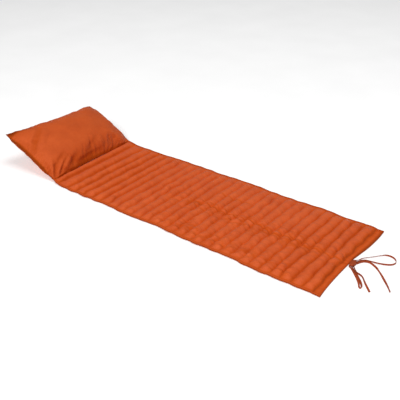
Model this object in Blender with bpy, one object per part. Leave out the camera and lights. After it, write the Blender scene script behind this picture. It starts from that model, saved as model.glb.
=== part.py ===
"""A sun lounger cushion as it lies on the ground: a long pad quilted across into narrow channels, a
stuffed pillow sewn to the head end of the pad, and a flat tape sewn into the foot edge and tied in a bow.

Metres, +Z up. The origin is on the ground under the middle of the pad and pillow, +X runs from the
pillow to the foot edge, and +Y to the side away from the bow's two free ends.
"""
import math
from typing import NamedTuple

import bmesh
import bpy

# Driving sizes
PAD_LENGTH = 1.519
PILLOW_REACH = 0.356
GAP = 0.0003

FOOT_X = (PAD_LENGTH + PILLOW_REACH) / 2
SEAM_X = FOOT_X - PAD_LENGTH

# The pad's quilting, across its width, with wider channels next to the pillow
QUILT_PITCH = 0.0504
WHOLE_CHANNELS = 28
FOOT_STRIP = 0.038
HEAD_STRETCH = 0.043
HEAD_STRETCH_REACH = 1.9
STEPS_A_CHANNEL = 4
FOOT_STRIP_CUTS = (0.35, 0.65)

# The pad's heights above the ground
CREST_HEIGHT = 0.020
SEAM_HEIGHT = 0.0085
BASE_GROOVE = 0.0025
HEM_BASE = 0.0015
HEM_TOP = 0.0065
HEM_WIDTH = 0.012
SHOULDER = 0.055
HEAD_END_THICKNESS = 0.008
CHANNEL_ROUNDNESS = 0.6
CHANNEL_UNEVENNESS = 0.05
SEAM_WANDER = 0.003
CREASE_FADE = 0.1

# Where the quilted channels are cut across, as parts of half the width
PAD_STATIONS = (0.0, 0.17, 0.35, 0.53, 0.72, 0.87, 0.96, 1.0)

# The pillow
PILLOW_STEPS_LONG = 20
PILLOW_STEPS_WIDE = 26
CROWN = 0.080
BELLY = 0.092
DOME_FLATNESS = 2.6
FAR_FLATNESS = 3.6
DOME_ROUNDNESS = 0.66
CORNER_ROUNDNESS = 0.8
GATHER_TO_SEAMS = 0.5
PILLOW_EDGE = 0.004
SIDE_DRAW_IN = 0.004
HEAD_DRAW_IN = 0.020
FRONT_FOLDS = 7
FRONT_FOLD_DEPTH = 0.004
FRONT_FOLD_REACH = 0.22

# The tape of the bow
TAPE_WIDTH = 0.0085
TAPE_THICKNESS = 0.0012
TAPE_SPACING = 0.011
BOW_BACK = 0.004
KNOT_LENGTH = 0.020
KNOT_WIDTH = 0.034
KNOT_HEIGHT = 0.015
KNOT_Y = -0.021
KNOT_SQUARENESS = 0.7
LEAD_FROM_KNOT = 0.006
FOOT_NOTCH = 0.012


class EdgeRow(NamedTuple):
    """How far the pad's two sides lie from its middle line, at a distance from the head seam."""

    from_seam: float
    near: float
    far: float


class LiftRow(NamedTuple):
    """How high the pad's underside is lifted towards the pillow, at a distance from the head seam."""

    from_seam: float
    height: float


class FootRow(NamedTuple):
    """How far the foot edge is drawn in at a place across the pad."""

    y: float
    set_back: float


class Wave(NamedTuple):
    """How fast a slow waver turns, in radians from one channel to the next and for a metre across."""

    a_channel: float
    a_metre: float


class Crease(NamedTuple):
    """A fold line along the pad, left from packing: its side place, its run and its depth."""

    y: float
    start: float
    end: float
    depth: float
    half_width: float


class Corner(NamedTuple):
    """A corner of the pillow's seam, with x measured from the head seam of the pad."""

    x: float
    y: float
    z: float


class RoutePoint(NamedTuple):
    """A point on the tape's way over the ground: x past the foot edge, y, and how far the tape leans
    over from standing on its edge, in degrees."""

    x: float
    y: float
    lean: float


EDGE_ROWS = (
    EdgeRow(-0.020, 0.288, 0.297),
    EdgeRow(0.030, 0.299, 0.292),
    EdgeRow(0.210, 0.303, 0.291),
    EdgeRow(0.360, 0.297, 0.298),
    EdgeRow(0.520, 0.302, 0.299),
    EdgeRow(0.660, 0.293, 0.299),
    EdgeRow(0.810, 0.300, 0.304),
    EdgeRow(0.950, 0.300, 0.295),
    EdgeRow(1.080, 0.295, 0.295),
    EdgeRow(1.200, 0.303, 0.305),
    EdgeRow(1.330, 0.302, 0.296),
    EdgeRow(1.450, 0.298, 0.299),
    EdgeRow(1.519, 0.299, 0.292),
)

LIFT_ROWS = (
    LiftRow(-0.020, 0.007),
    LiftRow(0.010, 0.004),
    LiftRow(0.060, 0.000),
    LiftRow(1.519, 0.000),
)

# The bow draws the foot edge in at its knot, where the edge is straight
FOOT_ROWS = (
    FootRow(-0.299, 0.000),
    FootRow(-0.255, 0.005),
    FootRow(-0.215, 0.008),
    FootRow(-0.150, 0.011),
    FootRow(-0.055, FOOT_NOTCH),
    FootRow(0.013, FOOT_NOTCH),
    FootRow(0.060, 0.007),
    FootRow(0.120, 0.000),
    FootRow(0.180, -0.003),
    FootRow(0.240, -0.003),
    FootRow(0.292, 0.000),
)

FILL_WAVES = (Wave(2.1, 9.0), Wave(0.9, -14.0))
SEAM_WAVE = Wave(1.7, 11.0)

CREASES = (
    Crease(y=-0.004, start=0.70, end=1.515, depth=0.003, half_width=0.045),
    Crease(y=0.150, start=0.70, end=1.00, depth=0.002, half_width=0.045),
)

FRONT_NEAR = Corner(-0.010, -0.288, 0.011)
FRONT_FAR = Corner(-0.028, 0.297, 0.011)
HEAD_NEAR = Corner(-PILLOW_REACH, -0.291, 0.171)
HEAD_FAR = Corner(-0.340, 0.300, 0.150)

CUSHION_COLOUR = (0.57, 0.098, 0.024)
TAPE_COLOUR = (0.46, 0.085, 0.028)
CLOTH_ROUGHNESS = 0.85

# The bow's ways over the ground, each from the knot outwards, and for a loop back to the knot,
# with the angles round the knot at which a tape leaves it and comes back
LONG_LOOP_ROUTE = (
    RoutePoint(0.010, 0.022, 50),
    RoutePoint(0.020, 0.048, 55),
    RoutePoint(0.042, 0.074, 53),
    RoutePoint(0.070, 0.109, 45),
    RoutePoint(0.091, 0.124, 12),
    RoutePoint(0.115, 0.125, 0),
    RoutePoint(0.135, 0.112, 0),
    RoutePoint(0.143, 0.093, 0),
    RoutePoint(0.136, 0.073, 0),
    RoutePoint(0.117, 0.059, 0),
    RoutePoint(0.089, 0.048, -12),
    RoutePoint(0.059, 0.042, -22),
    RoutePoint(0.036, 0.035, -12),
    RoutePoint(0.021, 0.019, 0),
)
LONG_LOOP_LEAVES, LONG_LOOP_RETURNS = 100, 62
SHORT_LOOP_ROUTE = (
    RoutePoint(0.010, -0.051, -5),
    RoutePoint(0.0285, -0.067, -25),
    RoutePoint(0.0545, -0.092, -58),
    RoutePoint(0.079, -0.1215, -62),
    RoutePoint(0.0925, -0.1455, -35),
    RoutePoint(0.099, -0.152, -8),
    RoutePoint(0.1035, -0.1485, 8),
    RoutePoint(0.1005, -0.1385, 38),
    RoutePoint(0.084, -0.113, 64),
    RoutePoint(0.062, -0.090, 58),
    RoutePoint(0.041, -0.070, 15),
    RoutePoint(0.024, -0.054, 0),
)
SHORT_LOOP_LEAVES, SHORT_LOOP_RETURNS = -100, -65
LONG_TAIL_ROUTE = (
    RoutePoint(0.027, 0.012, 0),
    RoutePoint(0.040, 0.026, 0),
    RoutePoint(0.059, 0.030, -15),
    RoutePoint(0.089, 0.017, -45),
    RoutePoint(0.115, -0.006, -14),
    RoutePoint(0.150, -0.041, -48),
    RoutePoint(0.181, -0.076, -22),
    RoutePoint(0.205, -0.106, -4),
)
LONG_TAIL_LEAVES = 30
SHORT_TAIL_ROUTE = (
    RoutePoint(0.032, -0.054, 0),
    RoutePoint(0.046, -0.067, -3),
    RoutePoint(0.060, -0.071, -8),
    RoutePoint(0.078, -0.082, -4),
    RoutePoint(0.104, -0.113, -35),
    RoutePoint(0.140, -0.150, -80),
)
SHORT_TAIL_LEAVES = -38


def follow(rows, column, at):
    """Reads a column of a table at a place, on a smooth curve through its rows."""
    places = [row[0] for row in rows]
    values = [getattr(row, column) for row in rows]
    i = max(0, min(len(rows) - 2, sum(place <= at for place in places) - 1))
    span = places[i + 1] - places[i]
    t = min(1.0, max(0.0, (at - places[i]) / span))
    before = max(0, i - 1)
    after = min(len(rows) - 1, i + 2)
    slope_in = (values[i + 1] - values[before]) / (places[i + 1] - places[before]) * span
    slope_out = (values[after] - values[i]) / (places[after] - places[i]) * span
    return (
        (2 * t**3 - 3 * t**2 + 1) * values[i]
        + (t**3 - 2 * t**2 + t) * slope_in
        + (3 * t**2 - 2 * t**3) * values[i + 1]
        + (t**3 - t**2) * slope_out
    )


def ease(t):
    """0 to 1 with level ends."""
    t = min(1.0, max(0.0, t))
    return t * t * (3 - 2 * t)


def cloth_material(name, colour):
    """A plain woven finish in one colour."""
    material = bpy.data.materials.new(name)
    material.use_nodes = True
    shader = material.node_tree.nodes["Principled BSDF"]
    shader.inputs["Base Color"].default_value = (*colour, 1.0)
    shader.inputs["Roughness"].default_value = CLOTH_ROUGHNESS
    shader.inputs["Metallic"].default_value = 0.0
    return material


def filled_solid(name, steps_long, steps_wide, place, material, collection):
    """A filled cloth body from two sheets of one grid, shut all round.

    The grid is extruded once, and place(along, across, upper) then gives each of its points a
    position, with along and across as counts of steps.
    """
    mesh = bpy.data.meshes.new(name)
    shape = bmesh.new()
    bmesh.ops.create_grid(shape, x_segments=steps_long, y_segments=steps_wide, size=0.5)
    upper = bmesh.ops.extrude_face_region(shape, geom=list(shape.faces))["geom"]
    raised = {item for item in upper if isinstance(item, bmesh.types.BMVert)}
    for vertex in shape.verts:
        along = round((vertex.co.x + 0.5) * steps_long)
        across = round((vertex.co.y + 0.5) * steps_wide)
        vertex.co = place(along, across, vertex in raised)
    bmesh.ops.recalc_face_normals(shape, faces=shape.faces)
    shape.to_mesh(mesh)
    shape.free()
    mesh.shade_smooth()
    mesh.materials.append(material)
    body = bpy.data.objects.new(name, mesh)
    collection.objects.link(body)
    return body


def pad_stations_long():
    """The pad's cuts along its length, each with its place in its channel, where the first cut is
    the head seam's middle."""
    seams = [(FRONT_NEAR.x + FRONT_FAR.x) / 2]
    for k in range(WHOLE_CHANNELS + 1):
        even = PAD_LENGTH - FOOT_STRIP - (WHOLE_CHANNELS - k) * QUILT_PITCH
        seams.append(even - HEAD_STRETCH * math.exp(-k / HEAD_STRETCH_REACH))
    cuts = []
    for channel, (start, end) in enumerate(zip(seams, seams[1:])):
        for step in range(STEPS_A_CHANNEL):
            t = step / STEPS_A_CHANNEL
            cuts.append((start + (end - start) * t, t, channel))
    last = len(seams) - 1
    cuts.append((seams[-1], 0.0, last))
    for part in FOOT_STRIP_CUTS:
        cuts.append((seams[-1] + FOOT_STRIP * part, part, last))
    cuts.append((PAD_LENGTH, 1.0, last))
    return cuts


def crease_depth(from_seam, y):
    """How deep the packing folds press into the pad at a point."""
    depth = 0.0
    for crease in CREASES:
        side = max(0.0, 1 - abs(y - crease.y) / crease.half_width)
        start = ease((from_seam - crease.start) / CREASE_FADE)
        end = ease((crease.end - from_seam) / CREASE_FADE + 1)
        depth += crease.depth * side * start * end
    return depth


def waver(wave, channel, y):
    """A slow waver from -1 to 1 over the pad."""
    return math.sin(wave.a_channel * channel + wave.a_metre * y)


def seam_line(y):
    """Where the seam between pad and pillow lies, which runs a little askew."""
    slope = (FRONT_FAR.x - FRONT_NEAR.x) / (FRONT_FAR.y - FRONT_NEAR.y)
    return FRONT_NEAR.x + slope * (y - FRONT_NEAR.y)


def pad_point(cuts, along, across, upper):
    """A point of the quilted pad."""
    from_seam, t, channel = cuts[along]
    wide = len(PAD_STATIONS) - 1
    side = -1 if across < wide else 1
    part = PAD_STATIONS[abs(across - wide)]
    half = follow(EDGE_ROWS, "near" if side < 0 else "far", from_seam)
    y = side * part * half

    inside = max(0.0, half - HEM_WIDTH - abs(y))
    fullness = math.sqrt(ease(inside / SHOULDER))
    in_foot_strip = channel > WHOLE_CHANNELS and t > 0
    if along == 0:
        z = HEAD_END_THICKNESS if upper else 0.0
    elif in_foot_strip:
        z = SEAM_HEIGHT + (HEM_TOP - SEAM_HEIGHT) * t if upper else HEM_BASE
    elif upper:
        uneven = sum(waver(wave, channel, y) for wave in FILL_WAVES)
        puff = abs(math.sin(math.pi * t)) ** CHANNEL_ROUNDNESS * (1 + CHANNEL_UNEVENNESS * uneven)
        z = SEAM_HEIGHT + (CREST_HEIGHT - SEAM_HEIGHT) * puff - crease_depth(from_seam, y)
        z = HEM_TOP + (z - HEM_TOP) * fullness
    else:
        groove = BASE_GROOVE if t == 0 else 0.0
        z = HEM_BASE + (groove - HEM_BASE) * fullness
    z += max(0.0, follow(LIFT_ROWS, "height", from_seam))

    x = SEAM_X + from_seam
    if channel == 0:
        x += (seam_line(y) - cuts[0][0]) * (1 - t)
    elif t == 0:
        x += SEAM_WANDER * waver(SEAM_WAVE, channel, y) * fullness
    if in_foot_strip:
        x -= t * follow(FOOT_ROWS, "set_back", y)
    return (x, y, z)


def build_pad(collection):
    """The long quilted pad, one filled solid."""
    material = cloth_material("pad_cloth", CUSHION_COLOUR)
    cuts = pad_stations_long()
    steps_wide = 2 * (len(PAD_STATIONS) - 1)

    def place(along, across, upper):
        return pad_point(cuts, along, across, upper)

    return filled_solid("pad", len(cuts) - 1, steps_wide, place, material, collection)


def between(a, b, t):
    """The point a part t of the way between two corners."""
    return [p + (q - p) * t for p, q in zip(a, b)]


def dome(t, flatness):
    """The rise of a stuffed cloth between two seams, 0 at both and 1 at the middle."""
    return (1 - abs(2 * t - 1) ** flatness) ** DOME_ROUNDNESS


def spread(t):
    """Draws the steps of a grid closer together at both seams."""
    return t + GATHER_TO_SEAMS * (ease(t) - t)


def pillow_point(along, across, upper):
    """A point of the stuffed head pillow: along runs from the head edge to the head seam."""
    s = spread(1 - along / PILLOW_STEPS_LONG)
    v = spread(across / PILLOW_STEPS_WIDE)
    x, y, z = between(between(FRONT_NEAR, FRONT_FAR, v), between(HEAD_NEAR, HEAD_FAR, v), s)
    middle = v * 2 - 1
    x += HEAD_DRAW_IN * s * abs(math.cos(math.pi / 2 * middle)) ** CORNER_ROUNDNESS
    y -= SIDE_DRAW_IN * middle * abs(math.sin(math.pi * s)) ** CORNER_ROUNDNESS

    rise = dome(s, DOME_FLATNESS) * dome(v, FAR_FLATNESS if middle > 0 else DOME_FLATNESS)
    if upper:
        height = PILLOW_EDGE / 2 + CROWN * rise
        fold = math.cos(2 * math.pi * FRONT_FOLDS * v) * math.exp(-s / FRONT_FOLD_REACH)
        height -= FRONT_FOLD_DEPTH * (1 + fold) * rise
    else:
        height = -PILLOW_EDGE / 2 - BELLY * rise
    tilt = math.atan2(HEAD_NEAR.z - FRONT_NEAR.z, FRONT_NEAR.x - HEAD_NEAR.x)
    x += height * math.sin(tilt)
    z += height * math.cos(tilt)
    return (SEAM_X + min(x, seam_line(y)) - GAP, y, max(z, 0.0))


def build_pillow(collection):
    """The head pillow, stuffed and shut by a seam all round, resting on its belly."""
    material = cloth_material("pillow_cloth", CUSHION_COLOUR)
    return filled_solid(
        "pillow", PILLOW_STEPS_LONG, PILLOW_STEPS_WIDE, pillow_point, material, collection
    )


def squarish(value):
    """Makes a round outline's value, from -1 to 1, that of the knot's squarer outline."""
    return math.copysign(abs(value) ** KNOT_SQUARENESS, value)


def beside_knot(angle, clear):
    """A point of a tape's route at an angle round the knot, clear of its side."""
    turn = math.radians(angle)
    out_x = squarish(math.cos(turn)) * KNOT_LENGTH / 2
    out_y = squarish(math.sin(turn)) * KNOT_WIDTH / 2
    slant_x = abs(math.cos(turn)) ** (2 - KNOT_SQUARENESS) / KNOT_LENGTH
    slant_y = abs(math.sin(turn)) ** (2 - KNOT_SQUARENESS) / KNOT_WIDTH
    slant = math.hypot(slant_x, slant_y)
    knot_x = BOW_BACK - FOOT_NOTCH + GAP + KNOT_LENGTH / 2
    return RoutePoint(
        knot_x + out_x + math.copysign(slant_x / slant * clear, out_x),
        KNOT_Y + out_y + math.copysign(slant_y / slant * clear, out_y),
        0.0,
    )


def smooth_route(route, leaves, returns):
    """Points about one spacing apart on a smooth curve from the knot through a route's own points,
    and for a loop back to the knot."""
    route = [beside_knot(leaves, GAP), beside_knot(leaves, LEAD_FROM_KNOT), *route]
    if returns is not None:
        route += [beside_knot(returns, LEAD_FROM_KNOT), beside_knot(returns, GAP)]
    points = []
    for i in range(len(route) - 1):
        p0 = route[max(0, i - 1)]
        p1, p2 = route[i], route[i + 1]
        p3 = route[min(len(route) - 1, i + 2)]
        steps = max(1, round(math.hypot(p2.x - p1.x, p2.y - p1.y) / TAPE_SPACING))
        for step in range(steps):
            t = step / steps
            points.append(
                [
                    0.5
                    * (
                        2 * b
                        + (c - a) * t
                        + (2 * a - 5 * b + 4 * c - d) * t**2
                        + (3 * b - a - 3 * c + d) * t**3
                    )
                    for a, b, c, d in zip(p0, p1, p2, p3)
                ]
            )
    points.append(list(route[-1]))
    return points


def build_tape(name, route, leaves, returns, material, collection):
    """A flat tape along a route, resting on the ground on its edge or leaning over."""
    curve = bpy.data.curves.new(name, "CURVE")
    curve.dimensions = "3D"
    curve.twist_mode = "Z_UP"
    curve.extrude = (TAPE_WIDTH - TAPE_THICKNESS) / 2
    curve.bevel_depth = TAPE_THICKNESS / 2
    curve.bevel_resolution = 0
    curve.use_fill_caps = True
    points = smooth_route(route, leaves, returns)
    spline = curve.splines.new("POLY")
    spline.points.add(len(points) - 1)
    for target, (x, y, lean) in zip(spline.points, points):
        lean = math.radians(lean)
        height = (TAPE_WIDTH * math.cos(lean) + TAPE_THICKNESS * abs(math.sin(lean))) / 2
        target.co = (FOOT_X - BOW_BACK + x, y, height + GAP, 1.0)
        target.tilt = lean
    curve.materials.append(material)
    tape = bpy.data.objects.new(name, curve)
    collection.objects.link(tape)
    return tape


def build_knot(material, collection):
    """The bow's knot: a squarish wrapped lump that lies against the foot edge."""
    bpy.ops.mesh.primitive_uv_sphere_add(segments=20, ring_count=12, radius=1.0)
    knot = bpy.context.object
    knot.name = "tie_knot"
    knot.data.name = "tie_knot"
    centre_x = FOOT_X - FOOT_NOTCH + GAP + KNOT_LENGTH / 2
    for vertex in knot.data.vertices:
        x, y, z = (squarish(c) for c in vertex.co)
        vertex.co = (
            centre_x + x * KNOT_LENGTH / 2,
            KNOT_Y + y * KNOT_WIDTH / 2,
            GAP + (z + 1) * KNOT_HEIGHT / 2,
        )
    knot.data.shade_smooth()
    knot.data.materials.append(material)
    for owner in list(knot.users_collection):
        owner.objects.unlink(knot)
    collection.objects.link(knot)
    return knot


def build_bow(collection):
    """The tape tied in a bow: its knot, two loops and two free ends."""
    material = cloth_material("tape_cloth", TAPE_COLOUR)
    build_knot(material, collection)
    tapes = (
        ("tie_loop_long", LONG_LOOP_ROUTE, LONG_LOOP_LEAVES, LONG_LOOP_RETURNS),
        ("tie_loop_short", SHORT_LOOP_ROUTE, SHORT_LOOP_LEAVES, SHORT_LOOP_RETURNS),
        ("tie_tail_long", LONG_TAIL_ROUTE, LONG_TAIL_LEAVES, None),
        ("tie_tail_short", SHORT_TAIL_ROUTE, SHORT_TAIL_LEAVES, None),
    )
    for name, route, leaves, returns in tapes:
        build_tape(name, route, leaves, returns, material, collection)


def main():
    for old in list(bpy.data.objects):
        bpy.data.objects.remove(old, do_unlink=True)
    collection = bpy.data.collections.new("sun_lounger_cushion")
    bpy.context.scene.collection.children.link(collection)
    build_pad(collection)
    build_pillow(collection)
    build_bow(collection)


main()
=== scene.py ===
"""The looks of a sun lounger cushion that lies on a pale floor.

A long pad quilted across into narrow channels, a stuffed pillow sewn to its head end, and a flat
tape tied in a bow at its foot edge, all of burnt orange cloth. Metres, +Z up, in the frame of the
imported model. Distances "from the seam" run along +X from the seam between pillow and pad.
"""

import logging
import math
from dataclasses import dataclass
from enum import Enum
from typing import Any, Mapping, NamedTuple, Sequence

import bpy
import numpy as np
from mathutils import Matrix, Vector


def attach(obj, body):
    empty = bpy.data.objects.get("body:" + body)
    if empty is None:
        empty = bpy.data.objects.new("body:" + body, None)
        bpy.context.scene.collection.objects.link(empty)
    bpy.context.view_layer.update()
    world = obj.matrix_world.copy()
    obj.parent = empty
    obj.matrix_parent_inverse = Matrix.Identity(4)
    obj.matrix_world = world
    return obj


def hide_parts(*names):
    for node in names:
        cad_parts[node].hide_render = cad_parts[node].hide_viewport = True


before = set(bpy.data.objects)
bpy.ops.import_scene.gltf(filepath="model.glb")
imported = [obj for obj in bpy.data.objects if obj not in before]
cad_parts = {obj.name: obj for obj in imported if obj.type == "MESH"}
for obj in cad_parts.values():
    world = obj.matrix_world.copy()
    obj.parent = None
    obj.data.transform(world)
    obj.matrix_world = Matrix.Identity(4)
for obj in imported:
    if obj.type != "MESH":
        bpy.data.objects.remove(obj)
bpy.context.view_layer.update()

LOG = logging.getLogger("cushion")

GAP = 0.0003
SEAM_X = -0.5815
FOOT_X = 0.9375
UV_NAME = "cloth"
# The point attribute of painted shade: seams, valleys, creases, folds, wrinkles and rims painted darker
PAINTED_SHADE_NAME = "rim"
TINY = 1e-9
WAVE_RADIANS = 20  # What Blender's wave texture turns by in one unit at a scale of 1

Colour = tuple[float, float, float]
Span = tuple[float, float]
Socket = bpy.types.NodeSocket


class Sheet(Enum):
    """The two cloth sheets of a filled piece."""

    UPPER = 1
    LOWER = -1


class Side(Enum):
    """The two sides of the pad, by the way they face across it."""

    NEAR = -1
    FAR = 1


class EdgeRow(NamedTuple):
    """How far the pad's two sides lie from its middle line, at a distance from the seam."""

    from_seam: float
    near: float
    far: float


class LiftRow(NamedTuple):
    """How high the pad's underside is lifted towards the pillow, at a distance from the seam."""

    from_seam: float
    height: float


class FootRow(NamedTuple):
    """How far the foot edge is drawn in at a place across the pad."""

    y: float
    set_back: float


class FoldLine(NamedTuple):
    """The way of a packing fold: its place across the pad at a distance from the seam."""

    from_seam: float
    y: float


class Fold(NamedTuple):
    """A fold from one place of a cloth to another: a valley, or a ridge where depth is negative."""

    x0: float
    y0: float
    x1: float
    y1: float
    depth: float
    half_width: float


class Corner(NamedTuple):
    """A corner of the pillow's seam, with x measured from the seam at the pad."""

    x: float
    y: float
    z: float


class RoutePoint(NamedTuple):
    """A point on a tape's way over the floor: x past the foot edge, y, and how far the tape leans
    over from standing on its edge, in degrees."""

    x: float
    y: float
    lean: float


def table(kind: type, *rows: tuple) -> tuple:
    """Names the columns of a table's rows."""
    return tuple(kind(*row) for row in rows)


EDGE_ROWS = table(
    EdgeRow,
    (-0.020, 0.288, 0.297), (0.030, 0.299, 0.292), (0.210, 0.303, 0.291), (0.360, 0.297, 0.298),
    (0.520, 0.302, 0.299), (0.660, 0.293, 0.299), (0.810, 0.300, 0.304), (0.950, 0.300, 0.295),
    (1.080, 0.295, 0.295), (1.200, 0.303, 0.305), (1.330, 0.302, 0.296), (1.450, 0.298, 0.299),
    (1.519, 0.299, 0.292),
)

LIFT_ROWS = table(LiftRow, (-0.020, 0.007), (0.010, 0.004), (0.060, 0.000), (1.519, 0.000))

FOOT_ROWS = table(
    FootRow,
    (-0.299, 0.000), (-0.255, 0.005), (-0.215, 0.008), (-0.150, 0.011), (-0.055, 0.012),
    (0.013, 0.012), (0.060, 0.007), (0.120, 0.000), (0.180, -0.003), (0.240, -0.003),
    (0.292, 0.000),
)

CENTRE_FOLD = table(
    FoldLine,
    (0.640, -0.045), (0.680, -0.020), (0.760, -0.004), (0.850, -0.022), (0.960, -0.010),
    (1.060, -0.010), (1.140, -0.036), (1.210, -0.020), (1.300, -0.040), (1.360, -0.030),
    (1.410, -0.038), (1.510, -0.036),
)

QUARTER_FOLD = table(FoldLine, (0.700, 0.112), (0.750, 0.120), (0.820, 0.113), (0.900, 0.118))

# Creases in the pad that the bow pulls, and loose ones near its sides
PAD_FOLDS = table(
    Fold,
    (1.400, 0.050, 1.500, -0.026, 0.0030, 0.010), (1.425, 0.060, 1.508, -0.018, -0.0020, 0.009),
    (1.448, 0.075, 1.512, -0.006, 0.0024, 0.008), (1.400, -0.140, 1.500, -0.050, 0.0028, 0.010),
    (1.395, -0.105, 1.498, -0.040, -0.0020, 0.009), (1.380, -0.070, 1.500, -0.030, 0.0020, 0.009),
    (1.235, -0.268, 1.330, -0.235, 0.0025, 0.010), (1.245, -0.245, 1.345, -0.262, -0.0016, 0.009),
    (1.150, -0.275, 1.230, -0.240, 0.0020, 0.009), (1.235, 0.115, 1.290, 0.160, -0.0022, 0.012),
    (0.270, -0.190, 0.330, -0.120, 0.0015, 0.010), (0.330, -0.240, 0.380, -0.180, 0.0016, 0.010),
    (0.980, -0.255, 1.070, -0.225, 0.0018, 0.010), (0.560, 0.200, 0.640, 0.250, 0.0014, 0.012),
)

# Folds of the pillow's upper sheet, each end as parts of its depth from the front seam and of its
# width from the near side
PILLOW_FOLDS = table(
    Fold,
    (0.008, 0.030, 0.170, 0.108, 0.0090, 0.017), (0.120, 0.080, 0.240, 0.255, 0.0060, 0.024),
    (0.020, 0.020, 0.265, 0.100, -0.0060, 0.015), (0.064, 0.012, 0.260, 0.045, 0.0035, 0.010),
    (0.020, 0.088, 0.185, 0.255, 0.0050, 0.015), (0.020, 0.055, 0.170, 0.185, -0.0040, 0.014),
    (0.018, 0.205, 0.155, 0.375, 0.0050, 0.026), (0.030, 0.145, 0.155, 0.290, -0.0035, 0.020),
    (0.034, 0.300, 0.046, 0.640, 0.0060, 0.020), (0.070, 0.430, 0.240, 0.640, 0.0042, 0.026),
    (0.045, 0.650, 0.225, 0.715, 0.0036, 0.022), (0.050, 0.712, 0.215, 0.788, 0.0030, 0.019),
    (0.015, 0.800, 0.190, 0.745, 0.0024, 0.020), (0.015, 0.875, 0.170, 0.800, 0.0032, 0.018),
    (0.800, 0.250, 0.585, 0.088, 0.0090, 0.026), (0.645, 0.122, 0.480, 0.018, 0.0095, 0.026),
    (0.690, 0.260, 0.450, 0.085, -0.0060, 0.026), (0.450, 0.085, 0.190, 0.135, -0.0040, 0.050),
    (0.830, 0.015, 0.520, 0.030, 0.0040, 0.030), (0.290, 0.000, 0.310, 0.055, 0.0035, 0.009),
    (0.225, 0.000, 0.260, 0.060, 0.0040, 0.009), (0.160, 0.000, 0.200, 0.060, 0.0040, 0.008),
    (0.105, 0.000, 0.150, 0.060, 0.0040, 0.008), (0.985, 0.010, 0.930, 0.210, 0.0040, 0.014),
    (0.985, 0.985, 0.860, 0.880, 0.0030, 0.018),
)

LONG_LOOP_ROUTE = table(
    RoutePoint,
    (0.010, 0.022, 50), (0.020, 0.048, 55), (0.042, 0.074, 53), (0.070, 0.109, 45),
    (0.091, 0.124, 12), (0.115, 0.125, 0), (0.135, 0.112, 0), (0.143, 0.093, 0),
    (0.136, 0.073, 0), (0.117, 0.059, 0), (0.089, 0.048, -12), (0.059, 0.042, -22),
    (0.036, 0.035, -12), (0.021, 0.019, 0),
)

SHORT_LOOP_ROUTE = table(
    RoutePoint,
    (0.010, -0.051, -5), (0.0285, -0.067, -25), (0.0545, -0.092, -58), (0.079, -0.1215, -62),
    (0.0925, -0.1455, -35), (0.099, -0.152, -8), (0.1035, -0.1485, 8), (0.1005, -0.1385, 38),
    (0.084, -0.113, 64), (0.062, -0.090, 58), (0.041, -0.070, 15), (0.024, -0.054, 0),
)

LONG_TAIL_ROUTE = table(
    RoutePoint,
    (0.027, 0.012, 0), (0.040, 0.026, 0), (0.059, 0.030, -15), (0.089, 0.017, -45),
    (0.115, -0.006, -14), (0.150, -0.041, -48), (0.181, -0.076, -22), (0.205, -0.106, -4),
)

SHORT_TAIL_ROUTE = table(
    RoutePoint,
    (0.032, -0.054, 0), (0.046, -0.067, -3), (0.060, -0.071, -8), (0.078, -0.082, -4),
    (0.104, -0.113, -35), (0.140, -0.150, -80),
)

# The ends of the seam between pad and pillow
FRONT_NEAR = Corner(-0.010, -0.288, 0.011)
FRONT_FAR = Corner(-0.028, 0.297, 0.011)


def cubic(a: Any, b: Any, slope_a: Any, slope_b: Any, t: Any) -> Any:
    """A smooth step from a to b at t from 0 to 1, with the given slopes at its ends."""
    return (
        (2 * t**3 - 3 * t**2 + 1) * a
        + (t**3 - 2 * t**2 + t) * slope_a
        + (3 * t**2 - 2 * t**3) * b
        + (t**3 - t**2) * slope_b
    )


def follow(rows: Sequence[tuple], column: str, at: np.ndarray) -> np.ndarray:
    """Reads a column of a table on a smooth curve through its rows.

    Args:
        rows: The table, with the place first in each row.
        column: The name of the column that is read.
        at: The places at which it is read.

    Returns:
        The column's value at each place.
    """
    places = np.array([row[0] for row in rows])
    values = np.array([getattr(row, column) for row in rows])
    i = np.clip(np.searchsorted(places, at, side="right") - 1, 0, len(rows) - 2)
    before = np.maximum(0, i - 1)
    after = np.minimum(len(rows) - 1, i + 2)
    span = places[i + 1] - places[i]
    t = np.clip((at - places[i]) / span, 0, 1)
    slope_in = (values[i + 1] - values[before]) / (places[i + 1] - places[before]) * span
    slope_out = (values[after] - values[i]) / (places[after] - places[i]) * span
    return cubic(values[i], values[i + 1], slope_in, slope_out, t)


def ease(t: np.ndarray) -> np.ndarray:
    """0 to 1 with level ends."""
    t = np.clip(t, 0, 1)
    return t * t * (3 - 2 * t)


def near_to(distance: np.ndarray, reach: float) -> np.ndarray:
    """1 at a distance of 0, falling away smoothly over a reach."""
    return np.exp(-((distance / reach) ** 2))


def fold_depth(folds: Sequence[Fold], x: np.ndarray, y: np.ndarray, scale: tuple) -> np.ndarray:
    """How deep a set of folds presses into a cloth.

    Args:
        folds: The folds.
        x: Places along the cloth, in the folds' own measure.
        y: Places across the cloth, in the folds' own measure.
        scale: The length in metres of one unit of x and of y.

    Returns:
        The depth in metres at each place, negative on a ridge.
    """
    total = np.zeros(np.broadcast(x, y).shape)
    for fold in folds:
        run_x = (fold.x1 - fold.x0) * scale[0]
        run_y = (fold.y1 - fold.y0) * scale[1]
        run = math.hypot(run_x, run_y)
        off_x = (x - fold.x0) * scale[0]
        off_y = (y - fold.y0) * scale[1]
        along = (off_x * run_x + off_y * run_y) / run**2
        side = np.abs(off_x * run_y - off_y * run_x) / run / fold.half_width
        ends = np.sqrt(np.sin(np.pi * np.clip(along, 0, 1)))
        total += fold.depth * np.clip(1 - side**2, 0, 1) ** 2 * ends
    return total


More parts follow.
